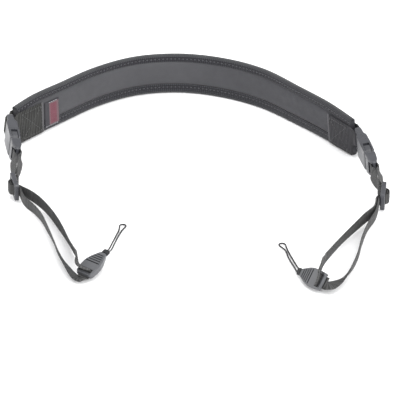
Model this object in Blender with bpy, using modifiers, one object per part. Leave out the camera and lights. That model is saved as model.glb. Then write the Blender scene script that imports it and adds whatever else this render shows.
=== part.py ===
"""Camera neck strap.

A padded neck band stands on its lower edge in an arch. From each end a webbing tab holds a
quick-release buckle; a narrow webbing band runs from the buckle past a three-bar slider to a
cord connector, whose thin cord loop lies on the floor.

World axes: +X right, +Y towards the back of the arch, +Z up, floor at z = 0, and the origin
under the middle of the strap's box. All lengths are in millimetres until they reach Blender,
which works in metres.
"""
import math
from collections import namedtuple

import bmesh
import bpy
from mathutils import Matrix, Vector

MM = 0.001
GAP = 0.35  # kept between pieces that touch
BOX_MIDDLE = Vector((-2.3, -2.2, 0.0))  # of the plan coordinates in the tables below

# neck band
PANEL_HALF = 2.6  # half thickness of the padded face
EDGE_HALF = 1.55  # half thickness where the binding pinches the foam
UPPER_FOLD = 6.1  # how far the upper binding comes down each face
LOWER_FOLD = 8.5
BINDING_WALL = 1.0
BINDING_HALF = EDGE_HALF + GAP + BINDING_WALL
BINDING_ROUND = 0.9
PAD_STEP = 9.0  # spacing of the band's sections

# lean: sideways shift outward for each mm of height. top: height of the upper edge.
PadPoint = namedtuple("PadPoint", "x y top lean")
PAD_LINE = (
    PadPoint(-147.6, 68.6, 33.2, 0.03),
    PadPoint(-134.0, 85.5, 36.3, 0.0),
    PadPoint(-113.0, 109.5, 36.4, 0.0),
    PadPoint(-83.0, 142.2, 36.4, 0.0),
    PadPoint(-50.0, 163.4, 36.5, 0.0),
    PadPoint(-12.0, 169.1, 36.5, 0.0),
    PadPoint(25.0, 159.0, 36.8, 0.0),
    PadPoint(58.0, 138.3, 36.8, -0.01),
    PadPoint(91.0, 102.2, 36.8, -0.09),
    PadPoint(115.0, 72.0, 36.7, -0.12),
    PadPoint(132.6, 47.3, 34.2, -0.13),
)

# end tabs and label
TAB_WIDTH = 27.4
TAB_LOOP_WIDTH = 15.0  # where it is folded in to pass through the socket
TAB_THICK = 1.4
TAB_LENGTH = 28.0
TAB_MIDDLE = 15.0  # height of its middle line
TAB_OVERHANG = 1.7  # how far its two layers stay apart past the band's end
TAB_OFFSET = BINDING_HALF + GAP + 0.05 + TAB_THICK / 2
LABEL_START = 30.6  # from the left end of the neck band
LABEL_LENGTH = 16.8
LABEL_LOW = 3.4
LABEL_HIGH = 26.4
LABEL_THICK = 0.8

# quick-release buckle: distances along it are from the end that the tab holds
SOCKET_LENGTH = 36.0
CAVITY_START = 12.0
CAVITY_HALF = 7.7
CAVITY_HALF_THICK = 2.9
WINDOW_START = 25.0  # from there to its mouth only its two broad walls are left
WINDOW_HALF_THICK = 2.6
TAB_BAR_LENGTH = 2.8
TAB_BAR_HALF_THICK = 1.2
TAB_SLOT_END = 8.8
TAB_SLOT_HALF = TAB_LOOP_WIDTH / 2 + 0.55
TAB_WRAP = 3.1  # radius of the webbing's middle line round the bar
TAB_NECK = 2.6  # from there to where it widens again
BUCKLE_LENGTH = 50.0
FORK_HALF_THICK = 2.3
STRAP_BAR_LENGTH = 2.6
STRAP_BAR_HALF_THICK = 1.3
STRAP_SLOT_START = 44.3
STRAP_SLOT_HALF = 5.2
STRAP_WRAP = 2.9

# Half outlines of the buckle, from the tab's end: width (half height as it stands) and
# half thickness at each distance along it.
Half = namedtuple("Half", "along half")
SOCKET_WIDTH = (
    Half(0.0, 8.9),
    Half(0.8, 9.6),
    Half(2.4, 10.0),
    Half(22.0, 10.0),
    Half(34.5, 9.5),
    Half(36.0, 8.9),
)
SOCKET_THICKNESS = (
    Half(-1.0, 2.7),
    Half(9.0, 2.9),
    Half(12.0, 4.3),
    Half(15.0, 4.5),
    Half(32.0, 4.5),
    Half(37.0, 4.1),
)
PLUG_WIDTH = (
    Half(36.35, 8.8),
    Half(38.5, 9.1),
    Half(41.0, 8.8),
    Half(44.0, 8.0),
    Half(48.8, 7.6),
    Half(50.0, 6.8),
)
PLUG_THICKNESS = (
    Half(36.0, 3.9),
    Half(39.0, 4.1),
    Half(45.0, 3.7),
    Half(46.8, 3.0),
    Half(51.0, 0.9),
)
# The plug's two sprung arms with their press buttons and the guide tongue between them, as
# half of one fork-shaped outline from the tongue's tip out and back to the base.
FORK = (
    Half(14.5, 1.4),
    Half(15.6, 2.1),
    Half(34.6, 2.1),
    Half(34.6, 4.5),
    Half(17.6, 4.7),
    Half(15.0, 5.3),
    Half(14.7, 6.2),
    Half(17.4, 7.3),
    Half(25.6, 7.3),
    Half(27.2, 9.0),
    Half(33.4, 9.0),
    Half(35.0, 7.35),
    Half(39.0, 7.35),
)

# narrow webbing and three-bar slider
STRAP_WIDTH = 9.5
STRAP_THICK = 1.2
LAYER_GAP = 0.35
SLIDER_LENGTH = 19.0
SLIDER_HALF_WIDTH = 8.0
SLIDER_HALF_THICK = 1.8
SLIDER_END_BAR = 2.2
SLIDER_MIDDLE_BAR = 2.6
SLIDER_SLOT_HALF = STRAP_WIDTH / 2 + 0.4
WEAVE_LEAVE = {"left": 33.0, "right": 12.0}  # how steeply the back run leaves a slider
WEAVE_RADIUS = 1.85  # of the two layers' middle line round a bar's corner

# cord connector: distances along it are from the end that the webbing holds
CONNECTOR_LENGTH = 26.0
CONNECTOR_BAR_LENGTH = 2.0
CONNECTOR_BAR_LOW = 1.9
CONNECTOR_BAR_HIGH = 4.3
CONNECTOR_SLOT_END = 5.2
CONNECTOR_SLOT_HALF = STRAP_WIDTH / 2 + 0.5
CONNECTOR_WIDTH = (
    Half(0.0, 5.6),
    Half(0.9, 6.7),
    Half(7.0, 7.2),
    Half(12.0, 7.1),
    Half(17.0, 6.0),
    Half(21.5, 4.4),
    Half(25.0, 3.1),
    Half(26.0, 2.3),
)
Side = namedtuple("Side", "along low high")
CONNECTOR_SIDE = (
    Side(-1.0, 0.6, 4.3),
    Side(1.5, 0.0, 4.8),
    Side(8.0, 0.0, 5.6),
    Side(13.5, 0.0, 6.1),
    Side(20.0, 0.2, 5.6),
    Side(27.0, 1.0, 4.6),
)
RIB_COUNT = 5
RIB_START = 11.6
RIB_PITCH = 2.4
RIB_GROOVE = 0.9
RIB_DEPTH = 0.6
RIB_MARGIN = 1.3  # smooth rim left beside the grooves
SLEEVE_LENGTH = 3.6
SLEEVE_HALF_WIDTH = 2.9
SLEEVE_HALF_THICK = 2.1
SLEEVE_MIDDLE = 2.6  # height in the connector
CORD_RADIUS = 0.6
CORD_HOLE = 0.95
CORD_HALF_SPREAD = 1.2
BIGHT_RADIUS = 2.5

# Where the hardware is: the middle of the end nearer the neck band, or for a connector the
# middle of its webbing end, underneath. heading: the way it points, turned from +X towards
# +Y. dip: how far that way slopes down. lean: about its own length. All three in degrees.
Place = namedtuple("Place", "x y z heading dip lean")
BUCKLES = {
    "left": Place(-153.2, 61.6, 21.6, -77.6, 5.5, -8.0),
    "right": Place(134.0, 38.1, 21.2, -78.4, 5.5, 8.0),
}
SLIDERS = {
    "left": Place(-144.0, -18.6, 11.9, -73.0, 10.0, 0.0),
    "right": Place(149.6, -34.0, 11.9, -99.0, 10.0, 0.0),
}
CONNECTORS = {
    "left": Place(-80.2, -153.6, 2.3, 56.5, -10.0, 4.0),
    "right": Place(96.0, -171.0, 7.3, 124.0, 10.0, -52.0),
}
OUTWARD = {"left": -1.0, "right": 1.0}  # which way is outward across a buckle or slider

# The narrow webbing's free runs, from the slider to the connector (front) and from the
# connector back to the slider (back). z: of the middle line. roll: how far the upper edge
# falls outward, in degrees.
StrapPoint = namedtuple("StrapPoint", "x y z roll")
FRONT_RUNS = {
    "left": (
        StrapPoint(-132.0, -45.0, 6.6, 2.0),
        StrapPoint(-124.3, -54.8, 5.3, 4.0),
        StrapPoint(-117.5, -67.5, 4.9, 6.0),
        StrapPoint(-111.7, -84.5, 4.9, 10.0),
        StrapPoint(-105.7, -104.0, 4.9, 16.0),
        StrapPoint(-102.2, -116.5, 4.9, 18.0),
        StrapPoint(-98.2, -129.2, 4.8, 30.0),
        StrapPoint(-94.2, -138.6, 4.5, 40.0),
        StrapPoint(-91.0, -145.8, 4.1, 49.0),
        StrapPoint(-88.0, -151.5, 3.5, 60.0),
        StrapPoint(-85.0, -155.6, 2.5, 70.0),
        StrapPoint(-82.4, -156.2, 2.0, 80.0),
    ),
    "right": (
        StrapPoint(140.6, -66.0, 6.3, 2.0),
        StrapPoint(132.9, -84.0, 5.1, 7.0),
        StrapPoint(127.0, -105.0, 4.9, 4.0),
        StrapPoint(122.3, -127.0, 4.9, 6.0),
        StrapPoint(116.3, -145.4, 4.8, 16.0),
        StrapPoint(110.9, -156.6, 4.7, 38.0),
        StrapPoint(108.1, -160.4, 4.6, 56.0),
        StrapPoint(104.3, -164.9, 4.6, 78.0),
        StrapPoint(100.7, -168.8, 5.1, 96.0),
        StrapPoint(97.9, -171.6, 6.3, 116.0),
    ),
}
BACK_RUNS = {
    "left": (
        StrapPoint(-84.9, -147.3, 13.9, 8.0),
        StrapPoint(-85.8, -137.6, 11.0, 16.0),
        StrapPoint(-87.9, -125.5, 7.0, 20.0),
        StrapPoint(-92.6, -109.7, 5.2, 14.0),
        StrapPoint(-98.6, -91.5, 4.9, 6.0),
        StrapPoint(-104.6, -75.5, 4.9, 0.0),
        StrapPoint(-111.6, -59.4, 5.0, 0.0),
        StrapPoint(-119.6, -46.4, 6.2, 0.0),
        StrapPoint(-128.0, -38.3, 8.2, 0.0),
    ),
    "right": (
        StrapPoint(91.6, -170.6, 19.3, 6.0),
        StrapPoint(93.5, -163.0, 19.6, 3.0),
        StrapPoint(95.0, -154.5, 16.2, 8.0),
        StrapPoint(97.3, -141.7, 11.6, 16.0),
        StrapPoint(101.0, -129.1, 8.0, 18.0),
        StrapPoint(105.6, -116.5, 5.6, 14.0),
        StrapPoint(113.0, -101.5, 4.9, 10.0),
        StrapPoint(122.0, -86.5, 5.2, 6.0),
        StrapPoint(131.8, -71.5, 6.0, 0.0),
        StrapPoint(140.0, -61.0, 7.4, 0.0),
    ),
}
# The two layers between buckle and slider. share: of the way. apart: more than straight.
Flare = namedtuple("Flare", "share apart roll")
FLARE = (
    Flare(0.1, 0.25, -24.0),
    Flare(0.3, 0.65, -27.0),
    Flare(0.6, 0.72, -19.0),
    Flare(0.85, 0.27, -7.0),
)
# How the webbing goes round the connector's bar: under it, up through the slot, then away over
# the raised side. raised: towards that side. The last three say where its width points.
WrapPoint = namedtuple("WrapPoint", "along raised up wide_along wide_raised wide_up")
BAR_WRAP = (
    WrapPoint(-0.6, 0.0, 0.9, 0.0, -1.0, 0.0),
    WrapPoint(1.0, 0.0, 0.75, 0.0, -1.0, 0.0),
    WrapPoint(2.7, 0.0, 1.1, 0.0, -1.0, 0.0),
    WrapPoint(3.5, 0.0, 2.7, 0.0, -1.0, 0.0),
    WrapPoint(3.6, 0.0, 4.5, 0.0, -1.0, 0.0),
    WrapPoint(3.3, 0.1, 5.9, -0.15, -0.95, 0.25),
    WrapPoint(1.4, 1.3, 7.9, -0.55, -0.7, 0.45),
    WrapPoint(0.8, 4.2, 9.6, -0.74, -0.12, 0.66),
)

# The cord loops' middle lines on the floor, away from the sleeve. half: from it to each strand.
CordPoint = namedtuple("CordPoint", "x y z half")
CORD_LINES = {
    "left": (
        CordPoint(-62.3, -120.4, 6.2, 1.05),
        CordPoint(-60.0, -105.0, 3.7, 0.95),
        CordPoint(-57.7, -90.0, 1.6, 0.95),
        CordPoint(-55.8, -80.5, 0.7, 1.3),
        CordPoint(-54.4, -74.0, 0.65, 2.5),
    ),
    "right": (
        CordPoint(75.2, -134.4, 1.1, 1.2),
        CordPoint(72.3, -122.5, 0.7, 1.2),
        CordPoint(69.9, -111.0, 0.65, 0.95),
        CordPoint(67.2, -103.2, 0.65, 2.5),
    ),
}

BAND_GREY = (0.125, 0.125, 0.135, 1.0)
BINDING_GREY = (0.045, 0.045, 0.052, 1.0)
WEBBING_GREY = (0.050, 0.050, 0.046, 1.0)
PLASTIC_GREY = (0.095, 0.095, 0.100, 1.0)
LABEL_RED = (0.30, 0.06, 0.09, 1.0)
CORD_BLACK = (0.020, 0.020, 0.022, 1.0)
UP = Vector((0.0, 0.0, 1.0))


def clear_scene():
    for thing in list(bpy.data.objects):
        bpy.data.objects.remove(thing, do_unlink=True)


def new_collection(name, helper):
    collection = bpy.data.collections.new(name)
    collection.hide_render = helper
    bpy.context.scene.collection.children.link(collection)
    return collection


def plain_material(name, colour, roughness):
    material = bpy.data.materials.new(name)
    material.use_nodes = True
    shader = material.node_tree.nodes["Principled BSDF"]
    shader.inputs["Base Color"].default_value = colour
    shader.inputs["Roughness"].default_value = roughness
    return material


def new_solid(name, points, faces, colour, roughness=0.6, collection=None):
    """An object from points in millimetres, with its faces turned outward."""
    mesh = bpy.data.meshes.new(name)
    mesh.from_pydata([tuple(Vector(p) * MM) for p in points], [], faces)
    work = bmesh.new()
    work.from_mesh(mesh)
    bmesh.ops.recalc_face_normals(work, faces=work.faces)
    work.to_mesh(mesh)
    work.free()
    thing = bpy.data.objects.new(name, mesh)
    mesh.materials.append(plain_material(name, colour, roughness))
    (collection or STRAP).objects.link(thing)
    return thing


def shade_round(thing, degrees=40.0):
    for face in thing.data.polygons:
        face.use_smooth = True
    thing.data.set_sharp_from_angle(angle=math.radians(degrees))


def sweep(name, frames, section, colour, roughness, closed=False):
    """A solid through sections. frames: (origin, side, up) each; section: (side, up) rows."""
    points = []
    count = len(section(0)) if callable(section) else len(section)
    for index, (origin, side, up) in enumerate(frames):
        rows = section(index) if callable(section) else section
        points += [origin + side * across + up * height for across, height in rows]
    faces = []
    spans = len(frames) if closed else len(frames) - 1
    for span in range(spans):
        here = span * count
        there = (span + 1) % len(frames) * count
        for corner in range(count):
            after = (corner + 1) % count
            faces.append((here + corner, here + after, there + after, there + corner))
    if not closed:
        faces.append(tuple(range(count)))
        faces.append(tuple(range(len(points) - count, len(points))))
    thing = new_solid(name, points, faces, colour, roughness)
    shade_round(thing)
    return thing


def curve_value(rows, span, part):
    """Centripetal Catmull-Rom value in one span of rows, which are equally long sequences."""
    before = rows[max(span - 1, 0)]
    start, end = rows[span], rows[span + 1]
    after = rows[min(span + 2, len(rows) - 1)]
    knots = [0.0]
    for one, two in ((before, start), (start, end), (end, after)):
        length = math.dist(one[:3], two[:3])
        knots.append(knots[-1] + max(length, 1e-6) ** 0.5)
    t = knots[1] + (knots[2] - knots[1]) * part

    def mix(a, b, low, high):
        share = 0.0 if high - low < 1e-6 else (t - low) / (high - low)
        return [p + (q - p) * share for p, q in zip(a, b)]

    first = start if span == 0 else mix(before, start, knots[0], knots[1])
    second = mix(start, end, knots[1], knots[2])
    third = end if span + 2 >= len(rows) else mix(end, after, knots[2], knots[3])
    lower = mix(first, second, knots[0] if span else knots[1], knots[2])
    upper = mix(second, third, knots[1], knots[3] if span + 2 < len(rows) else knots[2])
    return mix(lower, upper, knots[1], knots[2])


def smooth_rows(rows, step):
    """Rows about one step apart, on a smooth line through the given rows."""
    found = []
    for span in range(len(rows) - 1):
        length = math.dist(rows[span][:3], rows[span + 1][:3])
        pieces = max(1, round(length / step))
        found += [curve_value(rows, span, piece / pieces) for piece in range(pieces)]
    found.append(list(rows[-1]))
    return found


def pad_stations():
    """Evenly spaced (x, y, top, lean, distance) along the neck band, left end first."""
    rows = [(p.x, p.y, 0.0, p.top, p.lean) for p in PAD_LINE]
    fine = smooth_rows(rows, 0.5)
    distances = [0.0]
    for one, two in zip(fine, fine[1:]):
        distances.append(distances[-1] + math.dist(one[:3], two[:3]))
    count = round(distances[-1] / PAD_STEP)
    stations = []
    place = 0
    for index in range(count + 1):
        target = distances[-1] * index / count
        while place < len(fine) - 2 and distances[place + 1] < target:
            place += 1
        part = (target - distances[place]) / (distances[place + 1] - distances[place])
        x, y, _, top, lean = [a + (b - a) * part for a, b in zip(fine[place], fine[place + 1])]
        stations.append((Vector((x, y, 0.0)) - BOX_MIDDLE, top, lean, target))
    return stations


def pad_frames(stations):
    """(origin, side, up, top, distance) at each station; side points outward."""
    frames = []
    for index, (spot, top, lean, distance) in enumerate(stations):
        before = stations[max(index - 1, 0)][0]
        after = stations[min(index + 1, len(stations) - 1)][0]
        side = UP.cross((after - before).normalized())
        frames.append((spot, side, UP + side * lean, top, distance))
    return frames


def pad_frame_at(frames, distance):
    """The frame at a distance from the left end, straight between two stations."""
    last = len(frames) - 2
    index = next((i for i in range(last) if frames[i + 1][4] >= distance), last)
    one, two = frames[index], frames[index + 1]
    part = (distance - one[4]) / (two[4] - one[4])
    return tuple(a + (b - a) * part for a, b in zip(one, two))


def place_matrix(place):
    """From a piece's own axes (along, across, up) to the world, in millimetres."""
    turned = Matrix.Rotation(math.radians(place.heading), 4, "Z")
    dipped = Matrix.Rotation(math.radians(place.dip), 4, "Y")
    leaned = Matrix.Rotation(math.radians(place.lean), 4, "X")
    spot = Vector((place.x, place.y, place.z)) - BOX_MIDDLE
    return Matrix.Translation(spot) @ turned @ dipped @ leaned


def world_matrix(place):
    matrix = place_matrix(place)
    matrix.translation = matrix.translation * MM
    return matrix


def whole_outline(half_rows):
    """A closed outline from half of it."""
    upper = [(row.along, row.half) for row in half_rows]
    return upper + [(along, -half) for along, half in reversed(upper)]


def prism(name, outline, plane, low, high, collection=None, colour=PLASTIC_GREY):
    """An outline drawn in plane "XZ" or "XY", pushed from low to high along the other axis."""
    def spot(point, level):
        first, second = point
        return (first, level, second) if plane == "XZ" else (first, second, level)

    count = len(outline)
    points = [spot(p, low) for p in outline] + [spot(p, high) for p in outline]
    faces = [tuple(range(count)), tuple(range(count, 2 * count))]
    for corner in range(count):
        after = (corner + 1) % count
        faces.append((corner, after, count + after, count + corner))
    return new_solid(name, points, faces, colour, 0.4, collection)


def block(low, high):
    """Points and faces of a box between two corners."""
    points = [
        (x, y, z) for x in (low[0], high[0]) for y in (low[1], high[1]) for z in (low[2], high[2])
    ]
    faces = [
        (0, 1, 3, 2), (4, 6, 7, 5), (0, 4, 5, 1), (2, 3, 7, 6), (0, 2, 6, 4), (1, 5, 7, 3),
    ]
    return points, faces


def block_cutter(name, boxes):
    """One helper that holds separate boxes, each a (low corner, high corner) pair."""
    points, faces = [], []
    for low, high in boxes:
        more_points, more_faces = block(low, high)
        faces += [tuple(len(points) + corner for corner in face) for face in more_faces]
        points += more_points
    helper = new_solid(name, points, faces, PLASTIC_GREY, 0.4, CUTTERS)
    helper.display_type = "WIRE"
    return helper


def combine(thing, other, operation):
    step = thing.modifiers.new(other.name, "BOOLEAN")
    step.operation = operation
    step.solver = "EXACT"
    step.object = other
    other.display_type = "WIRE"


def round_edges(thing, width, segments=1):
    bevel = thing.modifiers.new("rounded edges", "BEVEL")
    bevel.width = width * MM
    bevel.segments = segments
    bevel.limit_method = "ANGLE"
    bevel.angle_limit = math.radians(32.0)


def seat(things, place):
    for thing in things:
        thing.matrix_world = world_matrix(place)


def build_pad(frames):
    """The foam core with its face, and the two folded bindings."""
    def core(index):
        top = frames[index][3]
        low, high = BINDING_WALL + GAP, top - BINDING_WALL - GAP
        foot, head = LOWER_FOLD + 0.2, top - UPPER_FOLD - 0.2
        right = [
            (EDGE_HALF, low),
            (EDGE_HALF, foot),
            (PANEL_HALF, foot + 1.1),
            (PANEL_HALF, head - 1.1),
            (EDGE_HALF, head),
            (EDGE_HALF, high),
        ]
        return right + [(-across, height) for across, height in reversed(right)]

    def folded(fold, edge):
        """Section of a binding whose closed edge is at height 0 and whose open edges are at fold."""
        inner, outer = BINDING_HALF - BINDING_WALL, BINDING_HALF
        right = [
            (outer - BINDING_ROUND, 0.0),
            (outer - 0.3 * BINDING_ROUND, 0.3 * BINDING_ROUND),
            (outer, BINDING_ROUND),
            (outer, fold),
            (inner, fold),
            (inner, BINDING_WALL),
        ]
        whole = right + [(-across, height) for across, height in reversed(right)]
        return [(across, edge(height)) for across, height in whole]

    plain = [frame[:3] for frame in frames]
    sweep("neck_pad", plain, core, BAND_GREY, 0.55)
    sweep("lower_binding", plain, folded(LOWER_FOLD, lambda h: h), BINDING_GREY, 0.9)
    sweep(
        "upper_binding",
        plain,
        lambda index: folded(UPPER_FOLD, lambda h: frames[index][3] - h),
        BINDING_GREY,
        0.9,
    )


def build_label(frames):
    inner = -(BINDING_HALF + GAP)
    outer = inner - LABEL_THICK
    section = [(inner, LABEL_LOW), (outer, LABEL_LOW), (outer, LABEL_HIGH), (inner, LABEL_HIGH)]
    inside = [f[4] for f in frames if LABEL_START < f[4] < LABEL_START + LABEL_LENGTH]
    distances = [LABEL_START, *inside, LABEL_START + LABEL_LENGTH]
    rows = [pad_frame_at(frames, distance)[:3] for distance in distances]
    sweep("side_label", rows, section, LABEL_RED, 0.8)


def ribbon(name, keys, widths, thick, closed):
    """Webbing through (middle point, width direction) keys."""
    frames = []
    for index, (spot, wide) in enumerate(keys):
        if closed:
            before, after = keys[index - 1][0], keys[(index + 1) % len(keys)][0]
        else:
            before = keys[max(index - 1, 0)][0]
            after = keys[min(index + 1, len(keys) - 1)][0]
        ahead = (after - spot).normalized() + (spot - before).normalized()
        ahead.normalize()
        if closed:
            up = (wide - ahead * wide.dot(ahead)).normalized()
        else:
            up = wide
            ahead = (ahead - up * ahead.dot(up)).normalized()
        frames.append((spot, ahead.cross(up), up))

    def section(index):
        across, height = thick / 2, widths[index] / 2
        return [(across, -height), (across, height), (-across, height), (-across, -height)]

    return sweep(name, frames, section, WEBBING_GREY, 0.85, closed)


def build_tab(side, frames):
    """The webbing that covers both faces of the band's end and loops round the socket's bar."""
    ends = frames if side == "left" else frames[::-1]
    end_distance = ends[0][4]
    inner_distance = TAB_LENGTH if side == "left" else end_distance - TAB_LENGTH
    stations = [f for f in ends if abs(f[4] - end_distance) < TAB_LENGTH - 1.0]
    stations.append(pad_frame_at(frames, inner_distance))
    legs = []
    for sign in (1.0, -1.0):
        leg = []
        for spot, out, up, _, _ in stations:
            leg.append((spot + out * sign * TAB_OFFSET + up * TAB_MIDDLE, up.normalized()))
        beyond = (leg[0][0] - leg[1][0]).normalized() * TAB_OVERHANG
        leg.insert(0, (leg[0][0] + beyond, leg[0][1]))
        legs.append(leg)
    matrix = place_matrix(BUCKLES[side])
    middle = matrix @ Vector((TAB_BAR_LENGTH / 2, 0.0, 0.0))
    along, across, up = (matrix.to_3x3().col[axis] for axis in range(3))
    pad_end = (legs[0][0][0] + legs[1][0][0]) / 2
    towards = pad_end - middle
    angle = math.atan2(towards.dot(across), towards.dot(along))
    arc = []
    for step in range(7):
        turn = angle + math.radians(90.0 + 30.0 * step)
        spot = middle + (along * math.cos(turn) + across * math.sin(turn)) * TAB_WRAP
        arc.append((spot, up.copy()))
    reach = (along * math.cos(angle) + across * math.sin(angle)) * TAB_NECK
    arc = [(arc[0][0] + reach, up.copy()), *arc, (arc[-1][0] + reach, up.copy())]
    nearer = (arc[0][0] - legs[0][0][0]).length < (arc[0][0] - legs[1][0][0]).length
    first, second = (legs[0], legs[1]) if nearer else (legs[1], legs[0])
    keys = first[::-1] + arc + second
    widths = [TAB_WIDTH] * len(first) + [TAB_LOOP_WIDTH] * len(arc) + [TAB_WIDTH] * len(second)
    ribbon(f"end_tab_{side}", keys, widths, TAB_THICK, False)


def build_buckle(side):
    place = BUCKLES[side]
    socket = prism(
        f"buckle_socket_{side}", whole_outline(SOCKET_WIDTH), "XZ", -8.0, 8.0
    )
    shape = prism(
        f"socket_sides_{side}", whole_outline(SOCKET_THICKNESS), "XY", -20.0, 20.0, CUTTERS
    )
    slot = block_cutter(
        f"socket_slot_{side}",
        [((TAB_BAR_LENGTH, -8.0, -TAB_SLOT_HALF), (TAB_SLOT_END, 8.0, TAB_SLOT_HALF))],
    )
    bar = block_cutter(
        f"socket_bar_{side}",
        [
            ((-2.0, level, -TAB_SLOT_HALF), (TAB_BAR_LENGTH + 1.0, level + 4.0, TAB_SLOT_HALF))
            for level in (TAB_BAR_HALF_THICK, -TAB_BAR_HALF_THICK - 4.0)
        ],
    )
    cavity = block_cutter(
        f"socket_cavity_{side}",
        [
            (
                (CAVITY_START, -CAVITY_HALF_THICK, -CAVITY_HALF),
                (SOCKET_LENGTH + 2.0, CAVITY_HALF_THICK, CAVITY_HALF),
            )
        ],
    )
    window = block_cutter(
        f"socket_windows_{side}",
        [
            (
                (WINDOW_START, -WINDOW_HALF_THICK, -20.0),
                (SOCKET_LENGTH + 2.0, WINDOW_HALF_THICK, 20.0),
            )
        ],
    )
    combine(socket, shape, "INTERSECT")
    round_edges(socket, 0.7)
    for cutter in (slot, bar, cavity, window):
        combine(socket, cutter, "DIFFERENCE")

    plug = prism(f"buckle_plug_{side}", whole_outline(PLUG_WIDTH), "XZ", -8.0, 8.0)
    plug_shape = prism(
        f"plug_sides_{side}", whole_outline(PLUG_THICKNESS), "XY", -20.0, 20.0, CUTTERS
    )
    fork = prism(
        f"plug_fork_{side}", whole_outline(FORK), "XZ", -FORK_HALF_THICK, FORK_HALF_THICK, CUTTERS
    )
    bar_start = BUCKLE_LENGTH - STRAP_BAR_LENGTH
    strap_slot = block_cutter(
        f"plug_slot_{side}",
        [((STRAP_SLOT_START, -8.0, -STRAP_SLOT_HALF), (bar_start, 8.0, STRAP_SLOT_HALF))],
    )
    strap_bar = block_cutter(
        f"plug_bar_{side}",
        [
            (
                (bar_start - 1.0, level, -STRAP_SLOT_HALF),
                (BUCKLE_LENGTH + 2.0, level + 4.0, STRAP_SLOT_HALF),
            )
            for level in (STRAP_BAR_HALF_THICK, -STRAP_BAR_HALF_THICK - 4.0)
        ],
    )
    combine(plug, plug_shape, "INTERSECT")
    round_edges(plug, 0.6)
    combine(plug, fork, "UNION")
    combine(plug, strap_slot, "DIFFERENCE")
    combine(plug, strap_bar, "DIFFERENCE")
    seat(
        (socket, shape, slot, bar, cavity, window, plug, plug_shape, fork, strap_slot, strap_bar),
        place,
    )


def build_slider(side):
    half, corner = SLIDER_HALF_WIDTH, 1.8
    rows = (
        Half(0.0, half - corner),
        Half(0.3 * corner, half - 0.3 * corner),
        Half(corner, half),
        Half(SLIDER_LENGTH - corner, half),
        Half(SLIDER_LENGTH - 0.3 * corner, half - 0.3 * corner),
        Half(SLIDER_LENGTH, half - corner),
    )
    slider = prism(
        f"slider_{side}", whole_outline(rows), "XZ", -SLIDER_HALF_THICK, SLIDER_HALF_THICK
    )
    first, second = slider_slots()
    slots = block_cutter(
        f"slider_slots_{side}",
        [
            ((start, -4.0, -SLIDER_SLOT_HALF), (end, 4.0, SLIDER_SLOT_HALF))
            for start, end in (first, second)
        ],
    )
    round_edges(slider, 0.5)
    combine(slider, slots, "DIFFERENCE")
    seat((slider, slots), SLIDERS[side])


def slider_slots():
    """(start, end) of the slider's two slots along it."""
    slot = (SLIDER_LENGTH - 2 * SLIDER_END_BAR - SLIDER_MIDDLE_BAR) / 2
    first = (SLIDER_END_BAR, SLIDER_END_BAR + slot)
    second = (first[1] + SLIDER_MIDDLE_BAR, SLIDER_LENGTH - SLIDER_END_BAR)
    return first, second


def rib_height(along):
    """Height of the connector's top at a distance along it."""
    for one, two in zip(CONNECTOR_SIDE, CONNECTOR_SIDE[1:]):
        if one.along <= along <= two.along:
            part = (along - one.along) / (two.along - one.along)
            return one.high + (two.high - one.high) * part
    return CONNECTOR_SIDE[-1].high


def rib_reach(along):
    """Half width of the connector at a distance along it, less the rim beside the grooves."""
    for one, two in zip(CONNECTOR_WIDTH, CONNECTOR_WIDTH[1:]):
        if one.along <= along <= two.along:
            part = (along - one.along) / (two.along - one.along)
            return one.half + (two.half - one.half) * part - RIB_MARGIN
    return CONNECTOR_WIDTH[-1].half - RIB_MARGIN


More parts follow.
